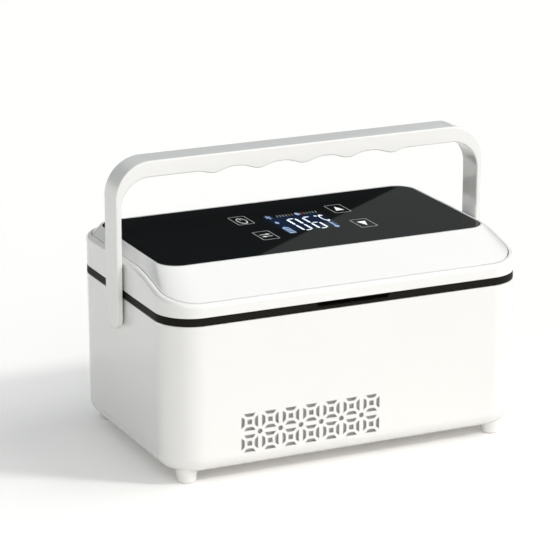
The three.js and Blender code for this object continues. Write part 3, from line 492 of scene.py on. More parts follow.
skin_of_body = BVHTree.FromBMesh(outside)
outside.free()
for corner in ("front_left", "front_right", "rear_left", "rear_right"):
    place = middle_of(f"foot_{corner}")
    foot = fresh(turned, (
        (0, 0), (FOOT_BOTTOM_RADIUS, 0), (FOOT_TOP_RADIUS, body_bottom), (0, body_bottom),
    ), {1: FOOT_ROUND})
    bmesh.ops.translate(foot, verts=foot.verts, vec=(place.x, place.y, 0))
    for vert in foot.verts:
        if vert.co.z > body_bottom - HAIR:
            hit = skin_of_body.ray_cast((vert.co.x, vert.co.y, 0), (0, 0, 1))[0]
            vert.co.z = hit.z - FOOT_SEAT
    finish_piece(f"foot_{corner}", foot, white_abs, "white_shell")


# Heat sink and cold plate: milled and extruded aluminium, brushed along their length and clamped to
# the Peltier module, a white ceramic tile with two soldered faces.

BRUSH_SHADE = 0.82
BRUSH_GLOSSY = 0.8
BRUSH_DULL = 1.3


def brushed(name, colour, roughness, stretch):
    """Bare metal with fine brushing along one direction."""
    material, shader, node, feed = new_material(name)
    along = node("Mapping", node("TexCoord")["Object"], Scale=stretch)
    strokes = node("TexNoise", along["Vector"], Scale=1, Detail=4)["Fac"]
    glossy = roughness * BRUSH_GLOSSY
    dull = roughness * BRUSH_DULL
    feed(
        shader, Metallic=1, Base_Color=tones(node, strokes, [c * BRUSH_SHADE for c in colour], colour),
        Roughness=node("MapRange", strokes, To_Min=glossy, To_Max=dull)["Result"],
    )
    return material


def dress(material, *names):
    """Gives CAD nodes that keep their own mesh a finish."""
    for name in names:
        for slot in frame["nodes"][name].material_slots:
            slot.material = material


aluminium = brushed("brushed_aluminium", (0.62, 0.63, 0.64), 0.32, (900, 25, 900))
dress(aluminium, "heat_sink", "cold_plate")
dress(moulded("white_ceramic", (0.78, 0.77, 0.74), 0.5, 900, 0.2, shade=0.08), "peltier_module")


# Fan: a square housing and a seven-blade rotor in black glass-filled plastic, screwed under the
# fins of the heat sink.

black_plastic = moulded("black_plastic", (0.022, 0.022, 0.023), 0.45, 1200, 0.35, shade=0.25)
dress(black_plastic, "fan_frame", "fan_rotor")


# Vent cover: a slotted white plate over the fan's intake, moulded in ABS and held under the floor by
# four screws.

COVER_CORNER = 0.006
SLOT_COUNT = 9
SLOT_WIDTH = 0.0032
SLOT_PITCH = 0.0066
SLOT_LENGTH = 0.058
SLOT_END = 0.499 * SLOT_WIDTH  # just short of half, so that both corners of an end stay apart
COVER_PLATE_EDGE = 0.0004

vent_low, vent_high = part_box("vent_cover")
vent_side = vent_high.x - vent_low.x
under_vent = vent_low.z - SHELL_WALL
over_vent = vent_high.z + SHELL_WALL


def slab(bm, ring, bottom, top):
    """Upright solid on one outline."""
    loft(bm, ((ring, 0, bottom), (ring, 0, top)))


plate = fresh(slab, outline(vent_side, vent_side, COVER_CORNER, (fan.x, fan.y)), vent_low.z, vent_high.z)
slots = bmesh.new()
for y in spaced(SLOT_COUNT, SLOT_PITCH):
    slab(slots, outline(SLOT_LENGTH, SLOT_WIDTH, SLOT_END, (fan.x, fan.y + y)), under_vent, over_vent)
screw_holes(slots, "vent", under_vent, over_vent)
plate = combine(plate, slots)
soften(plate, COVER_PLATE_EDGE)
finish_piece("vent_cover", plate, white_abs, "white_shell")


# Screws: pan-head steel screws with a cross recess, cold formed and rolled. Four go up through the vent
# cover and four down through the deck.

SCREW_HEAD_RADIUS = 0.0028
SCREW_HEAD_HEIGHT = 0.0015
SCREW_RADIUS = 0.0014
SCREW_ROUND = 0.0007
SCREW_TIP = 0.0005
RECESS_LENGTH = 0.0028
RECESS_WIDTH = 0.0006
RECESS_DEPTH = 0.0009

steel = brushed("steel", (0.5, 0.505, 0.51), 0.28, (300, 300, 60))


def screw_piece(name, body, way):
    """Screw in a CAD screw's place, with its shank pointing a way."""
    way = Vector(way)
    low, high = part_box(name)
    length = abs((high - low).dot(way))
    screw = fresh(turned, (
        (0, 0), (SCREW_HEAD_RADIUS, 0), (SCREW_HEAD_RADIUS, SCREW_HEAD_HEIGHT),
        (SCREW_RADIUS, SCREW_HEAD_HEIGHT), (SCREW_RADIUS, length), (0, length),
    ), {1: SCREW_ROUND, 4: SCREW_TIP}, steps=24)
    for x, y in ((RECESS_LENGTH, RECESS_WIDTH), (RECESS_WIDTH, RECESS_LENGTH)):
        recess = fresh(block, (-x / 2, -y / 2, -RECESS_DEPTH), (x / 2, y / 2, RECESS_DEPTH))
        screw = combine(screw, recess)
    head = (low + high) / 2 - way * length / 2
    bmesh.ops.transform(screw, matrix=Matrix.Translation(head) @ facing(way), verts=screw.verts)
    finish_piece(name, screw, steel, "steel", body)


for number in SCREW_NUMBERS:
    screw_piece(f"vent_screw_{number}", "case", (0, 0, 1))
    screw_piece(f"deck_screw_{number}", "case", (0, 0, -1))


# Battery pack: three cells under one blue shrink wrap, taped to the floor, beside the green control
# board that stands on four standoffs.

TRACK_HEIGHT = 0.0001

blue_wrap = moulded("blue_wrap", (0.035, 0.11, 0.33), 0.3, 160, 0.5, shade=0.2, Coat_Weight=0.4)
dress(blue_wrap, "battery_pack")
green_board = patterned(
    "green_board", "TexBrick", 0.35, 0.3, TRACK_HEIGHT, Scale=160,
    Color1=(0.012, 0.105, 0.045, 1), Color2=(0.010, 0.085, 0.038, 1), Mortar=(0.03, 0.17, 0.075, 1),
)
dress(green_board, "control_board", "panel_board")


# Charging inlet: a black moulded jack on the board, whose round nose sits in a hole of the rear wall
# with a steel pin standing in its socket.

NOSE_RADIUS = 0.005
SOCKET_RADIUS = 0.0032
SOCKET_DEPTH = 0.010
JACK_LENGTH = 0.015
JACK_EDGE = 0.0004
PIN_RADIUS = 0.001
PIN_SETBACK = 0.0015

inlet_low, inlet_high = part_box("dc_inlet")
socket_end = inlet_high.y - SOCKET_DEPTH
jack = fresh(block, inlet_low, (inlet_high.x, inlet_low.y + JACK_LENGTH, inlet_high.z))
nose = fresh(rod, NOSE_RADIUS, "y", inlet, inlet_low.y + JACK_LENGTH / 2, inlet_high.y)
jack = combine(jack, nose, "UNION")
jack = combine(jack, fresh(rod, SOCKET_RADIUS, "y", inlet, socket_end, inlet_high.y + SHELL_WALL))
soften(jack, JACK_EDGE)
finish_piece("dc_inlet", jack, black_plastic, "black_plastic")
pin_length = SOCKET_DEPTH - PIN_SETBACK
pin_profile = ((0, 0), (PIN_RADIUS, 0), (PIN_RADIUS, pin_length), (0, pin_length))
pin = fresh(turned, pin_profile, {2: PIN_RADIUS / 2}, steps=16)
pin_place = Matrix.Translation((inlet.x, socket_end, inlet.z)) @ facing((0, 1, 0))
bmesh.ops.transform(pin, verts=pin.verts, matrix=pin_place)
finish_piece("dc_inlet_pin", pin, steel, "steel", extra=True)


# Deck, insulation and sensor: a white plate on the four posts carries the cooling unit, and a tub of
# beaded foam lies on it round the liner with the temperature sensor in a pocket.

BEAD_HEIGHT = 0.0005

white_foam, foam_shader, node, feed = new_material("white_foam")
place = node("TexCoord")["Object"]
bead_relief_and_shade = node("TexVoronoi", place, Scale=320)["Distance"]
# Each bead is painted darker from its middle towards its rim, a painted shade in the grooves between the
# beads. The same value gives the beads their real relief through the bump.
bump = node("Bump", Height=bead_relief_and_shade, Strength=0.6, Distance=BEAD_HEIGHT)
feed(
    foam_shader, Base_Color=tones(node, bead_relief_and_shade, (0.80, 0.79, 0.75), (0.68, 0.67, 0.63)), Roughness=0.9,
    Normal=bump["Normal"],
)
dress(white_foam, "insulation_foam", "lid_foam")
dress(white_abs, "mid_deck")
dress(black_plastic, "temperature_sensor")


# Inner liner: a tray drawn from thin aluminium with rounded inside edges, whose flange hangs under
# the rim.

LINER_FLANGE = 0.012
LINER_WALL = 0.001
LINER_CORNER = 0.012
LINER_FILLET = 0.0015
LINER_LIP = 0.0008

liner_low, liner_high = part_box("inner_liner")
liner_length = liner_high.x - liner_low.x - 2 * LINER_FLANGE
liner_depth = liner_high.y - liner_low.y - 2 * LINER_FLANGE
liner_floor = liner_low.z + LINER_WALL
flange_bottom = liner_high.z - LINER_WALL
liner_ring = outline(liner_length, liner_depth, LINER_CORNER)
liner = fresh(loft, [
    (liner_ring, inset, level) for inset, level in (
        (-LINER_WALL, liner_low.z), (-LINER_WALL, flange_bottom), (-LINER_FLANGE, flange_bottom),
        (-LINER_FLANGE, liner_high.z), (0, liner_high.z), (0, liner_floor),
    )
])
soften(liner, LINER_FILLET, segments=4, among=lambda point: (
    point.z < liner_floor + TOUCH and abs(point.x) < liner_length / 2 + TOUCH
))
soften(liner, LINER_LIP, segments=3, among=lambda point: (
    point.z > liner_high.z - TOUCH and abs(point.x) < liner_length / 2 + TOUCH
    and abs(point.y - case_middle) < liner_depth / 2 + TOUCH
))
finish_piece("inner_liner", liner, aluminium, "aluminium")


# Pen rack: a lift-out white moulding with round-bottomed channels for injection pens, lying loose in
# the liner.

RACK_CORNER = 0.010
PEN_RADIUS = 0.009
PEN_PITCH = 0.020
PEN_SINK = 0.007
RACK_EDGE = 0.0007

rack_low, rack_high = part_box("pen_rack")
rack_depth = rack_high.y - rack_low.y
rack_ring = outline(rack_high.x - rack_low.x, rack_depth, RACK_CORNER)
rack = fresh(slab, rack_ring, rack_low.z, rack_high.z)
channels = bmesh.new()
for y in spaced(int(rack_depth / PEN_PITCH), PEN_PITCH):
    pen_axis = (0, case_middle + y, rack_high.z - PEN_SINK + PEN_RADIUS)
    rod(channels, PEN_RADIUS, "x", pen_axis, rack_low.x - PEN_SINK, rack_high.x + PEN_SINK, segments=64)
rack = combine(rack, channels)
soften(rack, RACK_EDGE, segments=3, angle=40)
finish_piece("pen_rack", rack, white_abs, "white_shell")


# Rim frame: one moulding of satin black plastic pressed onto the body's upper edge. It carries the
# band that shows under the lid, a lowered land for the gasket, the finger notch and the hinge ears.

RIM_LAND = 0.010
RIM_MOUTH = 0.024
RIM_SKIRT_OUTSIDE = 0.0028
RIM_SKIRT_INSIDE = 0.0053
RIM_STEP = 0.005
RIM_PLATE = 0.0025
RIM_EDGE = 0.0004
NOTCH_HALF = 0.027
NOTCH_HEIGHT = 0.0033
NOTCH_DEPTH = 0.008
NOTCH_SLANT = 0.0022

black_rim = moulded(
    "black_rim", (0.014, 0.013, 0.0105), 0.48, 1500, 0.25, shade=0.2, Specular_IOR_Level=0.05,
)
hinge_axis = joint_places["lid_hinge"]
band_top = hinge_axis.z - TOUCH / 2
gasket_land = band_top - RIM_STEP
plate_bottom = gasket_land - RIM_PLATE
rim_seat = body_top + TOUCH
rim_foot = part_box("rim_frame")[0].z
mouth_ring = outline(case_length, case_depth, LINER_CORNER, same_corner=True)
rim = fresh(loft, (
    (case_ring, 0, rim_seat), (case_ring, 0, band_top),
    (case_ring, RIM_LAND, band_top), (case_ring, RIM_LAND, gasket_land),
    (mouth_ring, RIM_MOUTH, gasket_land), (mouth_ring, RIM_MOUTH, plate_bottom),
    (case_ring, RIM_SKIRT_INSIDE, plate_bottom), (case_ring, RIM_SKIRT_INSIDE, rim_foot),
    (case_ring, RIM_SKIRT_OUTSIDE, rim_foot), (case_ring, RIM_SKIRT_OUTSIDE, rim_seat),
), endless=True)
soften(rim, RIM_EDGE)

notch = bmesh.new()
notch_face = notch.faces.new([
    notch.verts.new((x, front_near, z)) for x, z in (
        (NOTCH_SLANT - NOTCH_HALF, band_top - NOTCH_HEIGHT),
        (NOTCH_HALF - NOTCH_SLANT, band_top - NOTCH_HEIGHT),
        (NOTCH_HALF + NOTCH_SLANT, band_top + NOTCH_HEIGHT),
        (-NOTCH_HALF - NOTCH_SLANT, band_top + NOTCH_HEIGHT),
    )
])
push(notch, [notch_face], (0, SHELL_WALL + NOTCH_DEPTH, 0))
rim = combine(rim, notch)

HINGE_LENGTH = 0.044
LID_KNUCKLE = 0.022
KNUCKLE_RADIUS = 0.0032
KNUCKLE_EDGE = 0.0004
PIN_BORE = 0.0015
EAR_LENGTH = (HINGE_LENGTH - LID_KNUCKLE) / 2 - TOUCH
ear_offset = (HINGE_LENGTH - EAR_LENGTH) / 2
hinge_middles = [middle_of(f"hinge_pin_{side}").x for side in ("left", "right")]


def knuckle(bm, x, length, bottom, top):
    """Joins on a hinge barrel with a web to its wall, and bores it for the pin."""
    barrel = fresh(rod, KNUCKLE_RADIUS, "x", hinge_axis, x - length / 2, x + length / 2, segments=48)
    soften(barrel, KNUCKLE_EDGE)
    web = fresh(
        block, (x - length / 2 + KNUCKLE_EDGE, shell_high.y - SHELL_WALL / 2, bottom),
        (x + length / 2 - KNUCKLE_EDGE, hinge_axis.y, top),
    )
    bm = combine(bm, combine(barrel, web, "UNION"), "UNION")
    bore = fresh(rod, PIN_BORE, "x", hinge_axis, x - HINGE_LENGTH / 2, x + HINGE_LENGTH / 2, segments=24)
    return combine(bm, bore)


for middle in hinge_middles:
    for side in (-1, 1):
        rim = knuckle(rim, middle + side * ear_offset, EAR_LENGTH, hinge_axis.z - KNUCKLE_RADIUS, band_top)
finish_piece("rim_frame", rim, black_rim, "black_rim")


# Hinge pins: ground steel pins with rounded ends. They are pressed into the ears of the rim, and the
# lid's knuckles turn on them.

HINGE_PIN_RADIUS = 0.00125
HINGE_PIN_EDGE = 0.0003
for side in ("left", "right"):
    low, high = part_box(f"hinge_pin_{side}")
    hinge_pin = fresh(rod, HINGE_PIN_RADIUS, "x", hinge_axis, low.x, high.x)
    soften(hinge_pin, HINGE_PIN_EDGE)
    finish_piece(f"hinge_pin_{side}", hinge_pin, steel, "steel")


# Lid frame: the lower half of the lid, in white ABS. Its wall rises from the rim to a rounded ledge,
# and the ledge's upper edge is the S-shaped seam: low along the front, high along the sides.

SEAM_FRONT_RISE = 0.0092
SEAM_SIDE_RISE = 0.0211
SEAM_LEVEL_Y = -0.018
SEAM_GAP = 0.0007
LEDGE_DROP = 0.0032
LEDGE_INSET = 0.0026
LEDGE_STEPS = 6
FRAME_WALL = 0.0032
FRAME_FLANGE = 0.024
FRAME_FLANGE_THICKNESS = 0.003
LID_SIDE_CUTS = 47
lid_bottom = band_top + TOUCH
flange_top = lid_bottom + FRAME_FLANGE_THICKNESS
cover_inset = FRAME_WALL + SEAM_GAP


def seam_level(x, y):
    """Height of the seam at a point of the lid's outline."""
    radius = CASE_CORNER - cover_inset
    corner_x = case_length / 2 - CASE_CORNER
    corner_y = case_depth / 2 - CASE_CORNER
    along = y - case_middle
    turned_by = atan2(max(0, abs(x) - corner_x), max(0, -corner_y - along))
    arc = radius * turned_by if along < -corner_y else radius * pi / 2
    travel = arc + max(0, along + corner_y)
    share = min(1, travel / (radius * pi / 2 + SEAM_LEVEL_Y + corner_y))
    share = share * share * (3 - 2 * share)
    return band_top + SEAM_FRONT_RISE + (SEAM_SIDE_RISE - SEAM_FRONT_RISE) * share


lid_ring = outline(case_length, case_depth, CASE_CORNER, side_cuts=LID_SIDE_CUTS)


def seam(offset):
    """Level that keeps a height above or below the seam."""
    return lambda x, y: seam_level(x, y) + offset


lid_frame = fresh(loft, (
    (lid_ring, 0, lid_bottom),
    *(
        (lid_ring, LEDGE_INSET * (1 - cosine), seam(-LEDGE_DROP * (1 - sine)))
        for cosine, sine in quarter_turn(LEDGE_STEPS)
    ),
    (lid_ring, FRAME_WALL, seam(0)), (lid_ring, FRAME_WALL, flange_top),
    (lid_ring, FRAME_FLANGE, flange_top), (lid_ring, FRAME_FLANGE, lid_bottom),
), endless=True)
for middle in hinge_middles:
    lid_frame = knuckle(lid_frame, middle, LID_KNUCKLE, lid_bottom, hinge_axis.z + KNUCKLE_RADIUS)
lid_screw_holes = bmesh.new()
screw_holes(lid_screw_holes, "lid", gasket_land, flange_top + TOUCH)
lid_frame = combine(lid_frame, lid_screw_holes.copy())
finish_piece("lid_frame", lid_frame, white_abs, "white_shell", "lid")


# Lid panel: a white plate under the lid with a shallow plug that enters the mouth of the compartment,
# held by four screws. A bead of soft grey silicone round the plug seals on the rim's land.

PANEL_INSET = 0.011
PLUG_INSET = 0.027
PLUG_DEPTH = 0.003
PLUG_ROUND = 0.0012
PANEL_EDGE = 0.0004
GASKET_WIDTH = 0.0045
GASKET_ROUND = 0.0009

panel_low, panel_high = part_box("lid_panel")
plug_root = panel_low.z + PLUG_DEPTH
lid_panel = fresh(loft, (
    (mouth_ring, PLUG_INSET, panel_low.z), (mouth_ring, PLUG_INSET, plug_root),
    (case_ring, PANEL_INSET, plug_root), (case_ring, PANEL_INSET, panel_high.z),
))
soften(lid_panel, PLUG_ROUND, segments=4, among=lambda point: point.z < panel_low.z + TOUCH)
soften(lid_panel, PANEL_EDGE, among=lambda point: point.z > plug_root + TOUCH)
lid_panel = combine(lid_panel, lid_screw_holes)
finish_piece("lid_panel", lid_panel, white_abs, "white_shell", "lid")
for number in SCREW_NUMBERS:
    screw_piece(f"lid_screw_{number}", "lid", (0, 0, 1))

grey_rubber = moulded("grey_rubber", (0.27, 0.275, 0.273), 0.7, 700, 0.5, shade=0.12)
gasket_low, gasket_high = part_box("lid_gasket")
gasket_inset = gasket_low.x - shell_low.x
gasket_inside = gasket_inset + GASKET_WIDTH
gasket = fresh(loft, (
    (case_ring, gasket_inset, gasket_low.z), (case_ring, gasket_inset, gasket_high.z),
    (case_ring, gasket_inside, gasket_high.z), (case_ring, gasket_inside, gasket_low.z),
), endless=True)
soften(gasket, GASKET_ROUND, segments=4)
finish_piece("lid_gasket", gasket, grey_rubber, "grey_rubber", "lid")


# Lid cover: the upper half of the lid, in white ABS, clipped inside the frame. Slopes run from the
# seam up to a thin rim that holds the glass, and a deck under the glass carries the panel.

COVER_WALL = 0.0018
COVER_EDGE = 0.0005
COVER_EDGE_STEPS = 3
GLASS_CORNER = 0.0136
GLASS_RIM = 0.0015
PAD_HOLE = 0.0043
KEYS = ("power", "mode", "up", "down")

glass_low, glass_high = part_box("glass_panel")
glass_length = glass_high.x - glass_low.x
glass_depth = glass_high.y - glass_low.y
glass_middle = (0.0, (glass_low.y + glass_high.y) / 2)
glass_top = glass_high.z
deck_top = glass_low.z - TOUCH
deck_bottom = deck_top - COVER_WALL
skirt_bottom = flange_top + TOUCH
cover_inside = cover_inset + COVER_WALL
display_low, display_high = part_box("display_module")
glass_ring = outline(glass_length, glass_depth, GLASS_CORNER, glass_middle, LID_SIDE_CUTS)
cover = fresh(loft, (
    (glass_ring, 0, deck_bottom), (lid_ring, cover_inside, seam(-COVER_WALL / 2)),
    (lid_ring, cover_inside, skirt_bottom), (lid_ring, cover_inset, skirt_bottom),
    *(
        (lid_ring, cover_inset + COVER_EDGE * (1 - cosine), seam(COVER_EDGE * sine))
        for cosine, sine in quarter_turn(COVER_EDGE_STEPS)
    ),
    (glass_ring, -GLASS_RIM, glass_top), (glass_ring, -TOUCH, glass_top), (glass_ring, -TOUCH, deck_top),
))
window_bottom = deck_bottom - COVER_WALL
window_top = deck_top + COVER_WALL
windows = fresh(
    block, (display_low.x - TOUCH, display_low.y - TOUCH, window_bottom),
    (display_high.x + TOUCH, display_high.y + TOUCH, window_top),
)
for key in KEYS:
    rod(windows, PAD_HOLE, "z", middle_of(f"key_pad_{key}"), window_bottom, window_top)
cover = combine(cover, windows)
finish_piece("lid_cover", cover, white_abs, "white_shell", "lid", sharp=22)
dress(black_plastic, "display_module")
dress(grey_rubber, *(f"key_pad_{key}" for key in KEYS))


# Glass panel: one sheet of black back-printed glass with ground edges, bonded to the deck of the lid.
# The display behind it glows dark blue through the print.

GLASS_EDGE = 0.0004
SMUDGE_ROUGHNESS = 0.03
GLOW_EDGE = 0.0035
panel = (display_low + display_high) / 2
display_half = (display_high - display_low) / 2

black_glass, glass_shader, node, feed = new_material("black_glass")
place = node("TexCoord")["Object"]
smudge = node("TexNoise", place, Scale=30, Detail=4)["Fac"]
polish = node("MapRange", smudge, To_Min=0.0, To_Max=SMUDGE_ROUGHNESS)
apart = node("VectorMath", place, (panel.x, panel.y, 0), operation="SUBTRACT")
distance = node("VectorMath", apart["Vector"], operation="ABSOLUTE")
split = node("SeparateXYZ", distance["Vector"])
fades = [
    node(
        "MapRange", split[axis], interpolation_type="SMOOTHSTEP",
        From_Min=half - 2 * GLOW_EDGE, From_Max=half, To_Min=1, To_Max=0,
    )["Result"]
    for axis, half in (("X", display_half.x), ("Y", display_half.y))
]
glow = node("Math", *fades, operation="MULTIPLY")
feed(
    glass_shader, Base_Color=(0.004, 0.005, 0.005, 1), IOR=1.5, Specular_IOR_Level=0.08,
    Emission_Color=(0.003, 0.01, 0.036, 1), Emission_Strength=glow[0],
    Roughness=polish["Result"],
)

glass = fresh(loft, (
    (glass_ring, GLASS_EDGE, glass_low.z), (glass_ring, 0, glass_low.z + GLASS_EDGE),
    (glass_ring, 0, glass_top - GLASS_EDGE), (glass_ring, GLASS_EDGE, glass_top),
))
finish_piece("glass_panel", glass, black_glass, "black_glass", "lid", sharp=20)


# Key marks: four framed touch signs in backlit white print, one over each key pad. Their layout is in
# millimetres from the middle of the display or of a key.

MM = 0.001
INK_DEPTH = 0.00006
POINT_CUT = 0.6
HOOP_STEPS = 40
KEY_LENGTH = 12.3
KEY_DEPTH = 20.2
KEY_CORNER = 1.5
KEY_LINE = 0.55
KEY_DRAW_IN = 0.0007


def ink_point(x, y, origin):
    """Point of the layout on the upper face of the glass."""
    return Vector((origin.x + x * MM, origin.y + y * MM, glass_top))


def ink_bar(bm, start, end, width, origin=panel, pointed=False):
    """Straight stroke between two points, with square or pointed ends."""
    start, end = ink_point(*start, origin), ink_point(*end, origin)
    run = end - start
    turn = Matrix.Rotation(atan2(run.y, run.x), 4, "Z")
    size = Matrix.Diagonal((run.length, width * MM, INK_DEPTH, 1))
    place = Matrix.Translation((start + end) / 2) @ turn @ size
    verts = bmesh.ops.create_cube(bm, size=1, matrix=place)["verts"]
    if pointed:
        uprights = {
            edge for vert in verts for edge in vert.link_edges
            if abs(edge.verts[0].co.z - edge.verts[1].co.z) > INK_DEPTH / 2
        }
        round_off(bm, list(uprights), width * MM * POINT_CUT, 1, "EDGES")


def ink_hoop(bm, middle, radii, width, start=0.0, sweep=2 * pi, origin=panel):
    """Ring, or an arc from one angle through another, drawn out to an oval."""
    known = set(bm.verts)
    inner = (radii[0] - width / 2) * MM
    outer = (radii[0] + width / 2) * MM
    half = INK_DEPTH / 2
    section = [
        bm.verts.new((radius, 0, z)) for radius, z in (
            (inner, -half), (outer, -half), (outer, half), (inner, half),
        )
    ]
    face = bm.faces.new(section)
    edges = face.edges[:]
    whole = sweep > 2 * pi - HAIR
    if whole:
        bmesh.ops.delete(bm, geom=[face], context="FACES_ONLY")
    bmesh.ops.spin(
        bm, geom=section + edges + ([] if whole else [face]), cent=(0, 0, 0), axis=(0, 0, 1), angle=sweep,
        steps=HOOP_STEPS, use_merge=whole,
    )
    place = Matrix.Translation(ink_point(*middle, origin)) @ Matrix.Diagonal((1, radii[1] / radii[0], 1, 1))
    place = place @ Matrix.Rotation(start, 4, "Z")
    bmesh.ops.transform(bm, matrix=place, verts=[v for v in bm.verts if v not in known])


def ink_spot(bm, middle, radii, segments=24, turn=0.0, origin=panel):
    """Filled oval, or a triangle when it has three sides."""
    known = set(bm.faces)
    place = Matrix.Translation(ink_point(*middle, origin) - Vector((0, 0, INK_DEPTH / 2)))
    place = place @ Matrix.Diagonal((radii[0] * MM, radii[1] * MM, 1, 1)) @ Matrix.Rotation(turn, 4, "Z")
    bmesh.ops.create_circle(bm, cap_ends=True, segments=segments, radius=1, matrix=place)
    push(bm, [f for f in bm.faces if f not in known], (0, 0, INK_DEPTH))


def ink_frame(bm, middle, length, depth, corner, line, origin=panel):
    """Outline of a rounded rectangle."""
    centre = ink_point(*middle, origin)
    ring = outline(length * MM, depth * MM, corner * MM, (centre.x, centre.y))
    loft(bm, [
        (ring, inset * MM, glass_top + side * INK_DEPTH / 2)
        for inset, side in ((0, -1), (0, 1), (line, 1), (line, -1))
    ], endless=True)


def print_piece(name, bm, ink, slot="white_shell"):
    """Finishes a print on the glass of the lid."""
    bmesh.ops.recalc_face_normals(bm, faces=bm.faces)
    finish_piece(name, bm, ink, slot, "lid", extra=True)


GUIDE_DIM = 0.85
GUIDE_BRIGHT = 1.1


def lit_print(name, colour, strength):
    """Print lit from behind, a little uneven like a light guide."""
    material, shader, node, feed = new_material(name)
    place = node("TexCoord")["Object"]
    guide = node("TexNoise", place, Scale=120, Detail=1)["Fac"]
    level = node("MapRange", guide, To_Min=strength * GUIDE_DIM, To_Max=strength * GUIDE_BRIGHT)
    feed(
        shader, Base_Color=(*colour, 1), Roughness=0.3, Emission_Color=(*colour, 1),
        Emission_Strength=level["Result"],
    )
    return material


white_print = lit_print("white_print", (0.75, 0.77, 0.76), 0.7)
sign_print = lit_print("sign_print", (0.6, 0.62, 0.61), 0.42)
frame_print = lit_print("frame_print", (0.42, 0.44, 0.43), 0.22)
key_places = {key: middle_of(f"key_pad_{key}") for key in KEYS}
frames = bmesh.new()
for place in key_places.values():
    place.x += copysign(KEY_DRAW_IN, panel.x - place.x)
    ink_frame(frames, (0, 0), KEY_LENGTH, KEY_DEPTH, KEY_CORNER, KEY_LINE, origin=place)
print_piece("key_frames", frames, frame_print)

ARROW_SHIFT = 1
signs = bmesh.new()
ink_spot(signs, (0, -ARROW_SHIFT), (3.5, 6.5), segments=3, origin=key_places["up"])
ink_spot(signs, (0, ARROW_SHIFT), (3.6, 6.8), segments=3, turn=pi, origin=key_places["down"])
print_piece("key_signs", signs, white_print)

POWER_START = radians(115)
POWER_SWEEP = radians(310)
SLIDER_HALF = 3.8
SLIDER_Y = 2.3
KNOB_X = 1.7
outlines = bmesh.new()
ink_hoop(outlines, (0, -1.0), (3.0, 6.4), 0.7, POWER_START, POWER_SWEEP, key_places["power"])
ink_bar(outlines, (0, 0.6), (0, 6.6), 0.75, key_places["power"])
for side in (-1, 1):
    y = side * SLIDER_Y
    ink_bar(outlines, (-SLIDER_HALF, y), (SLIDER_HALF, y), 0.9, key_places["mode"])
    ink_spot(outlines, (side * KNOB_X, y), (1.0, 1.7), origin=key_places["mode"])
print_piece("key_outlines", outlines, sign_print)


# Display: lit segments behind the glass, with two white digits and a degree sign, light blue signs
# for cooling, charge and temperature, and a scale of coloured ticks along the rear.

DIGIT_LENGTH = 7.6
DIGIT_DEPTH = 30.6
SEGMENT = 1.55
SEGMENT_TRIM = 0.45
DIGIT_LEFTS = (-8.2, 3.3)
DIGIT_FOOT = -20.2
# Strokes between six points: left and right at the foot (0, 1), the waist (2, 3) and the head (4, 5).
DIGIT_STROKES = ("45 35 13 01 02 24", "45 13 01 02 24 23")
UNIT_START = radians(50)
UNIT_SWEEP = radians(260)

display_white = lit_print("display_white", (0.86, 0.92, 1.0), 0.65)
display_blue = lit_print("display_blue", (0.34, 0.48, 0.74), 0.38)
display_green = lit_print("display_green", (0.12, 0.30, 0.15), 0.3)
display_red = lit_print("display_red", (0.42, 0.12, 0.07), 0.3)

foot = DIGIT_FOOT + SEGMENT / 2
head = DIGIT_FOOT + DIGIT_DEPTH - SEGMENT / 2
waist = (foot + head) / 2
digits = bmesh.new()
for strokes, left in zip(DIGIT_STROKES, DIGIT_LEFTS):
    sides = (left + SEGMENT / 2, left + DIGIT_LENGTH - SEGMENT / 2)
    points = [Vector((x, y)) for y in (foot, waist, head) for x in sides]
    for stroke in strokes.split():
        start, end = (points[int(number)] for number in stroke)
        trim = (end - start).normalized() * SEGMENT * SEGMENT_TRIM
        ink_bar(digits, start + trim, end - trim, SEGMENT, pointed=True)
ink_hoop(digits, (14.2, 9.4), (0.75, 1.3), 0.5)
ink_hoop(digits, (17.9, 3.0), (2.1, 7.0), 0.75, UNIT_START, UNIT_SWEEP)
print_piece("display_digits", digits, display_white)

SNOW_PLACE = Vector((-16.8, 19.0))
SNOW_ANGLES = (30, 90, 150)
CHARGE_PLACE = (-17.0, -15.2)
CHARGE_LEFT = -18.7
CHARGE_RIGHT = -15.3
CHARGE_FOOT = -20.4
CHARGE_PITCH = 3.5
GAUGE_X = 16.7
MARK_LEFT = 17.8
MARK_RIGHT = 18.8
MARK_TOP = -9
MARK_PITCH = 2.6
TICKS = "wwwwgr..rrggww"
TICK_START = -9.9
TICK_PITCH = 2.25
TICK_Y = 19.4
TICK_HALF = 2.4
TICK_LEAN = 0.3
TICK_LINE = 0.5

blues = bmesh.new()
for angle in map(radians, SNOW_ANGLES):
    reach = Vector((2.4 * cos(angle), 4.4 * sin(angle)))
    ink_bar(blues, SNOW_PLACE - reach, SNOW_PLACE + reach, 0.8)
ink_spot(blues, (-16.8, 4.8), (1.15, 2.7))
ink_frame(blues, CHARGE_PLACE, 4.7, 14.6, 0.9, 0.5)
for number in range(4):
    y = CHARGE_FOOT + number * CHARGE_PITCH
    ink_bar(blues, (CHARGE_LEFT, y), (CHARGE_RIGHT, y), 2.0)
ink_bar(blues, (-18.0, -7.2), (-16.0, -7.2), 1.0)
ink_spot(blues, (GAUGE_X, -19.2), (1.6, 2.6))
ink_bar(blues, (GAUGE_X, -18.0), (GAUGE_X, -6.4), 1.2)
for number in range(3):
    y = MARK_TOP - number * MARK_PITCH
    ink_bar(blues, (MARK_LEFT, y), (MARK_RIGHT, y), 0.7)
ink_spot(blues, (5.2, TICK_Y), (1.6, 3.2))
print_piece("display_signs", blues, display_blue, "blue_wrap")

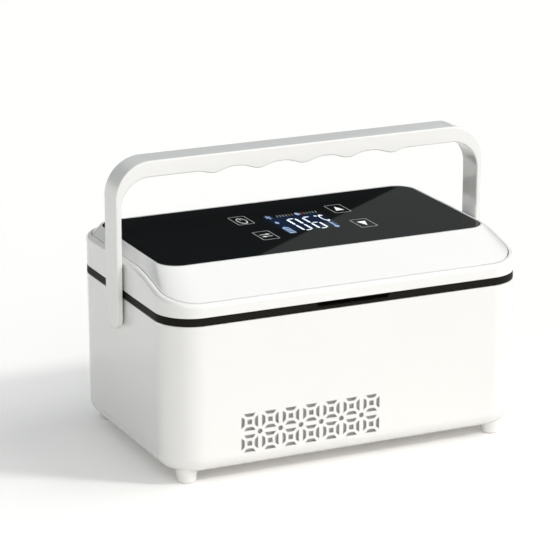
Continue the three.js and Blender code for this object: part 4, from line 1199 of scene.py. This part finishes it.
for letter, colour, ink, slot in (
    ("w", "white", frame_print, "white_shell"), ("g", "green", display_green, "green_board"),
    ("r", "red", display_red, "black_glass"),
):
    ticks = bmesh.new()
    for number in [place for place, tick in enumerate(TICKS) if tick == letter]:
        x = TICK_START + number * TICK_PITCH
        low_end = (x - TICK_LEAN, TICK_Y - TICK_HALF)
        ink_bar(ticks, low_end, (x + TICK_LEAN, TICK_Y + TICK_HALF), TICK_LINE)
    print_piece(f"display_scale_{colour}", ticks, ink, slot)


# Handle: one white moulding that swings on studs in the body's sides. Flat legs thicken through the
# rounded corners into a grip with finger waves below.

HANDLE_OUTER_CORNER = 0.025
HANDLE_INNER_CORNER = 0.020
LEG_THICKNESS = 0.0041
GRIP_THICKNESS = 0.011
LEG_END_CORNER = 0.0075
LEG_END_STEPS = 12
HANDLE_EDGE = 0.001
WAVE_PITCH = 0.033
WAVE_COUNT = 5
WAVE_DEPTH = 0.0022
WAVE_HOLLOW = 0.0009
WAVE_CUTS = 159
COLLAR_RADIUS = 0.007
STUD_RADIUS = 0.004
STUD_BORE_DEPTH = 0.0055

handle_low, handle_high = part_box("handle")
grip_bottom = handle_high.z - GRIP_THICKNESS
leg_inside = handle_high.x - LEG_THICKNESS


def grip_wave(x):
    """Depth of the finger waves: soft cusps between wide hollows."""
    outside = max(0, abs(x) / WAVE_PITCH - (WAVE_COUNT - 1) / 2)
    if outside > 0.5:
        return 0
    cusp = abs(cos(pi * x / WAVE_PITCH)) ** 3
    hollow = (1 - cusp) * cos(pi * outside) ** 2
    return WAVE_HOLLOW * hollow - WAVE_DEPTH * cusp


bail = bmesh.new()
corners = [
    bail.verts.new((x, handle_low.y, z)) for x, z in (
        (handle_high.x, handle_low.z), (handle_high.x, handle_high.z),
        (handle_low.x, handle_high.z), (handle_low.x, handle_low.z),
        (-leg_inside, handle_low.z), (-leg_inside, grip_bottom),
        (leg_inside, grip_bottom), (leg_inside, handle_low.z),
    )
]
bail.faces.new(corners)
round_off(bail, corners[1:3], HANDLE_OUTER_CORNER, CORNER_STEPS)
round_off(bail, corners[5:7], HANDLE_INNER_CORNER, CORNER_STEPS)
underside = edges_among(bail, lambda point: abs(point.z - grip_bottom) < HAIR)
bmesh.ops.subdivide_edges(bail, edges=underside, cuts=WAVE_CUTS)
wave_end = leg_inside - HANDLE_INNER_CORNER - HAIR
for vert in bail.verts:
    if abs(vert.co.z - grip_bottom) < HAIR and abs(vert.co.x) < wave_end:
        vert.co.z += grip_wave(vert.co.x)
push(bail, bail.faces[:], (0, handle_high.y - handle_low.y, 0))
leg_ends = [
    edge for edge in edges_among(bail, lambda point: point.z < handle_low.z + HAIR)
    if abs(edge.verts[0].co.y - edge.verts[1].co.y) < HAIR
]
round_off(bail, leg_ends, LEG_END_CORNER, LEG_END_STEPS, "EDGES")
soften(bail, HANDLE_EDGE, segments=4)
for side in (-1, 1):
    root = side * (leg_inside + LEG_THICKNESS / 2)
    stud_end = side * (case_length / 2 - SHELL_WALL - BODY_DRAFT - TOUCH)
    collar_end = side * (case_length / 2 + TOUCH)
    bail = combine(bail, fresh(rod, COLLAR_RADIUS, "x", pivot, root, collar_end, segments=48), "UNION")
    bail = combine(bail, fresh(rod, STUD_RADIUS, "x", pivot, root, stud_end), "UNION")
    bore_end = stud_end + side * STUD_BORE_DEPTH
    bail = combine(bail, fresh(rod, SCREW_HOLE, "x", pivot, stud_end - side * TOUCH, bore_end))
finish_piece("handle", bail, white_abs, "white_shell", "handle")


# Pivot fasteners: a steel washer and a screw inside each side of the body, which keep the studs of
# the handle in their holes.

WASHER_RADIUS = 0.007
WASHER_EDGE = 0.0002
for side, way in (("left", -1), ("right", 1)):
    low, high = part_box(f"pivot_washer_{side}")
    washer = fresh(rod, WASHER_RADIUS, "x", pivot, low.x, high.x, segments=48)
    bore = fresh(rod, SCREW_HOLE, "x", pivot, low.x - SHELL_WALL, high.x + SHELL_WALL)
    washer = combine(washer, bore)
    soften(washer, WASHER_EDGE)
    finish_piece(f"pivot_washer_{side}", washer, steel, "steel", "handle")
    screw_piece(f"pivot_screw_{side}", "handle", (way, 0, 0))


# Studio: a pale floor under four lights. A small key lamp in front to the right draws the shadow's
# edge, a broad lamp above the right side softens it, a warm fill lamp stands in front, and a dim card
# behind gives the glass its slanting reflection.

CAMERA_PLACE = Vector((-0.78208, -1.62842, 0.65162))
CAMERA_RIGHT = Vector((0.90448, -0.42651, 0.00224))
CAMERA_UP = Vector((0.12208, 0.26390, 0.95679))
CAMERA_LENS = 178.9

camera_data = bpy.data.cameras.new("camera")
camera_data.sensor_width = 36
camera_data.lens = CAMERA_LENS
camera = new_object("camera", camera_data)
axes = (CAMERA_RIGHT, CAMERA_UP, CAMERA_RIGHT.cross(CAMERA_UP))
camera.matrix_world = Matrix.Translation(CAMERA_PLACE) @ Matrix(axes).transposed().to_4x4()
scene = bpy.context.scene
scene.camera = camera


def broad_lamp(name, way, strength, spread, colour):
    """Large far lamp that shines evenly over the case and the floor."""
    data = bpy.data.lights.new(name, "SUN")
    data.energy = strength
    data.angle = radians(spread)
    data.color = colour
    new_object(name, data).matrix_world = facing(way)


DAYLIGHT = (1.0, 0.995, 0.985)
broad_lamp("key", (0.647, -0.463, 0.602), 1.34, 9, DAYLIGHT)
broad_lamp("side", (0.60, -0.13, 0.79), 0.8, 36, DAYLIGHT)
broad_lamp("fill", (-0.14, -0.99, 0.04), 1.93, 110, (1.0, 0.968, 0.925))

CARD_PLACE = (1.429, 2.5, 1.022)
CARD_LENGTH = 0.96
CARD_HEIGHT = 0.3
CARD_SLANT = radians(19)
CARD_BRIGHTNESS = 0.24
card_data = bpy.data.lights.new("glass_card", "AREA")
card_data.shape = "RECTANGLE"
card_data.size = CARD_LENGTH
card_data.size_y = CARD_HEIGHT
card_data.energy = CARD_BRIGHTNESS * pi * CARD_LENGTH * CARD_HEIGHT
card_data.color = (0.95, 1.0, 0.98)
card_turn = Matrix.Rotation(CARD_SLANT, 4, "Y") @ facing((0, 1, 0))
new_object("glass_card", card_data).matrix_world = Matrix.Translation(CARD_PLACE) @ card_turn

FLOOR_REACH = 40
FLOOR_LIFT = 0.178
floor_form = fresh(bmesh.ops.create_grid, x_segments=1, y_segments=1, size=FLOOR_REACH)
floor_mesh = bpy.data.meshes.new("floor")
floor_form.to_mesh(floor_mesh)
floor_form.free()
floor = new_object("floor", floor_mesh)
floor_white, floor_shader, node, feed = new_material("floor_white")
ray = node("LightPath")
seen = node("Math", ray["Is Camera Ray"], ray["Is Glossy Ray"], operation="MAXIMUM")[0]
seen = node("Math", seen, ray["Is Transmission Ray"], operation="MAXIMUM")[0]
lift = node("Math", seen, FLOOR_LIFT, operation="MULTIPLY")[0]
feed(
    floor_shader, Base_Color=(0.885, 0.868, 0.845, 1), Roughness=0.9, Specular_IOR_Level=0.1,
    Emission_Color=(1, 0.99, 0.975, 1), Emission_Strength=lift,
)
floor_mesh.materials.append(floor_white)

world = bpy.data.worlds.new("studio")
scene.world = world
world.use_nodes = True
node, feed = node_maker(world.node_tree)
split = node("SeparateXYZ", node("TexCoord")["Generated"])
sky = node("ValToRGB", split["Z"])
stops = sky["Color"].node.color_ramp.elements
stops[0].position = 0.035
stops[0].color = (*DAYLIGHT, 1)
stops[1].position = 0.58
stops[1].color = (0.41, 0.45, 0.477, 1)
for height, colour in (
    (0.045, (0.5, 0.48, 0.41)), (0.10, (0.5, 0.48, 0.41)), (0.16, (0.03, 0.034, 0.033)),
    (0.42, (0.055, 0.06, 0.064)),
):
    stops.new(height).color = (*colour, 1)
feed(world.node_tree.nodes["Background"], Color=sky["Color"])

scene.view_settings.view_transform = "Standard"
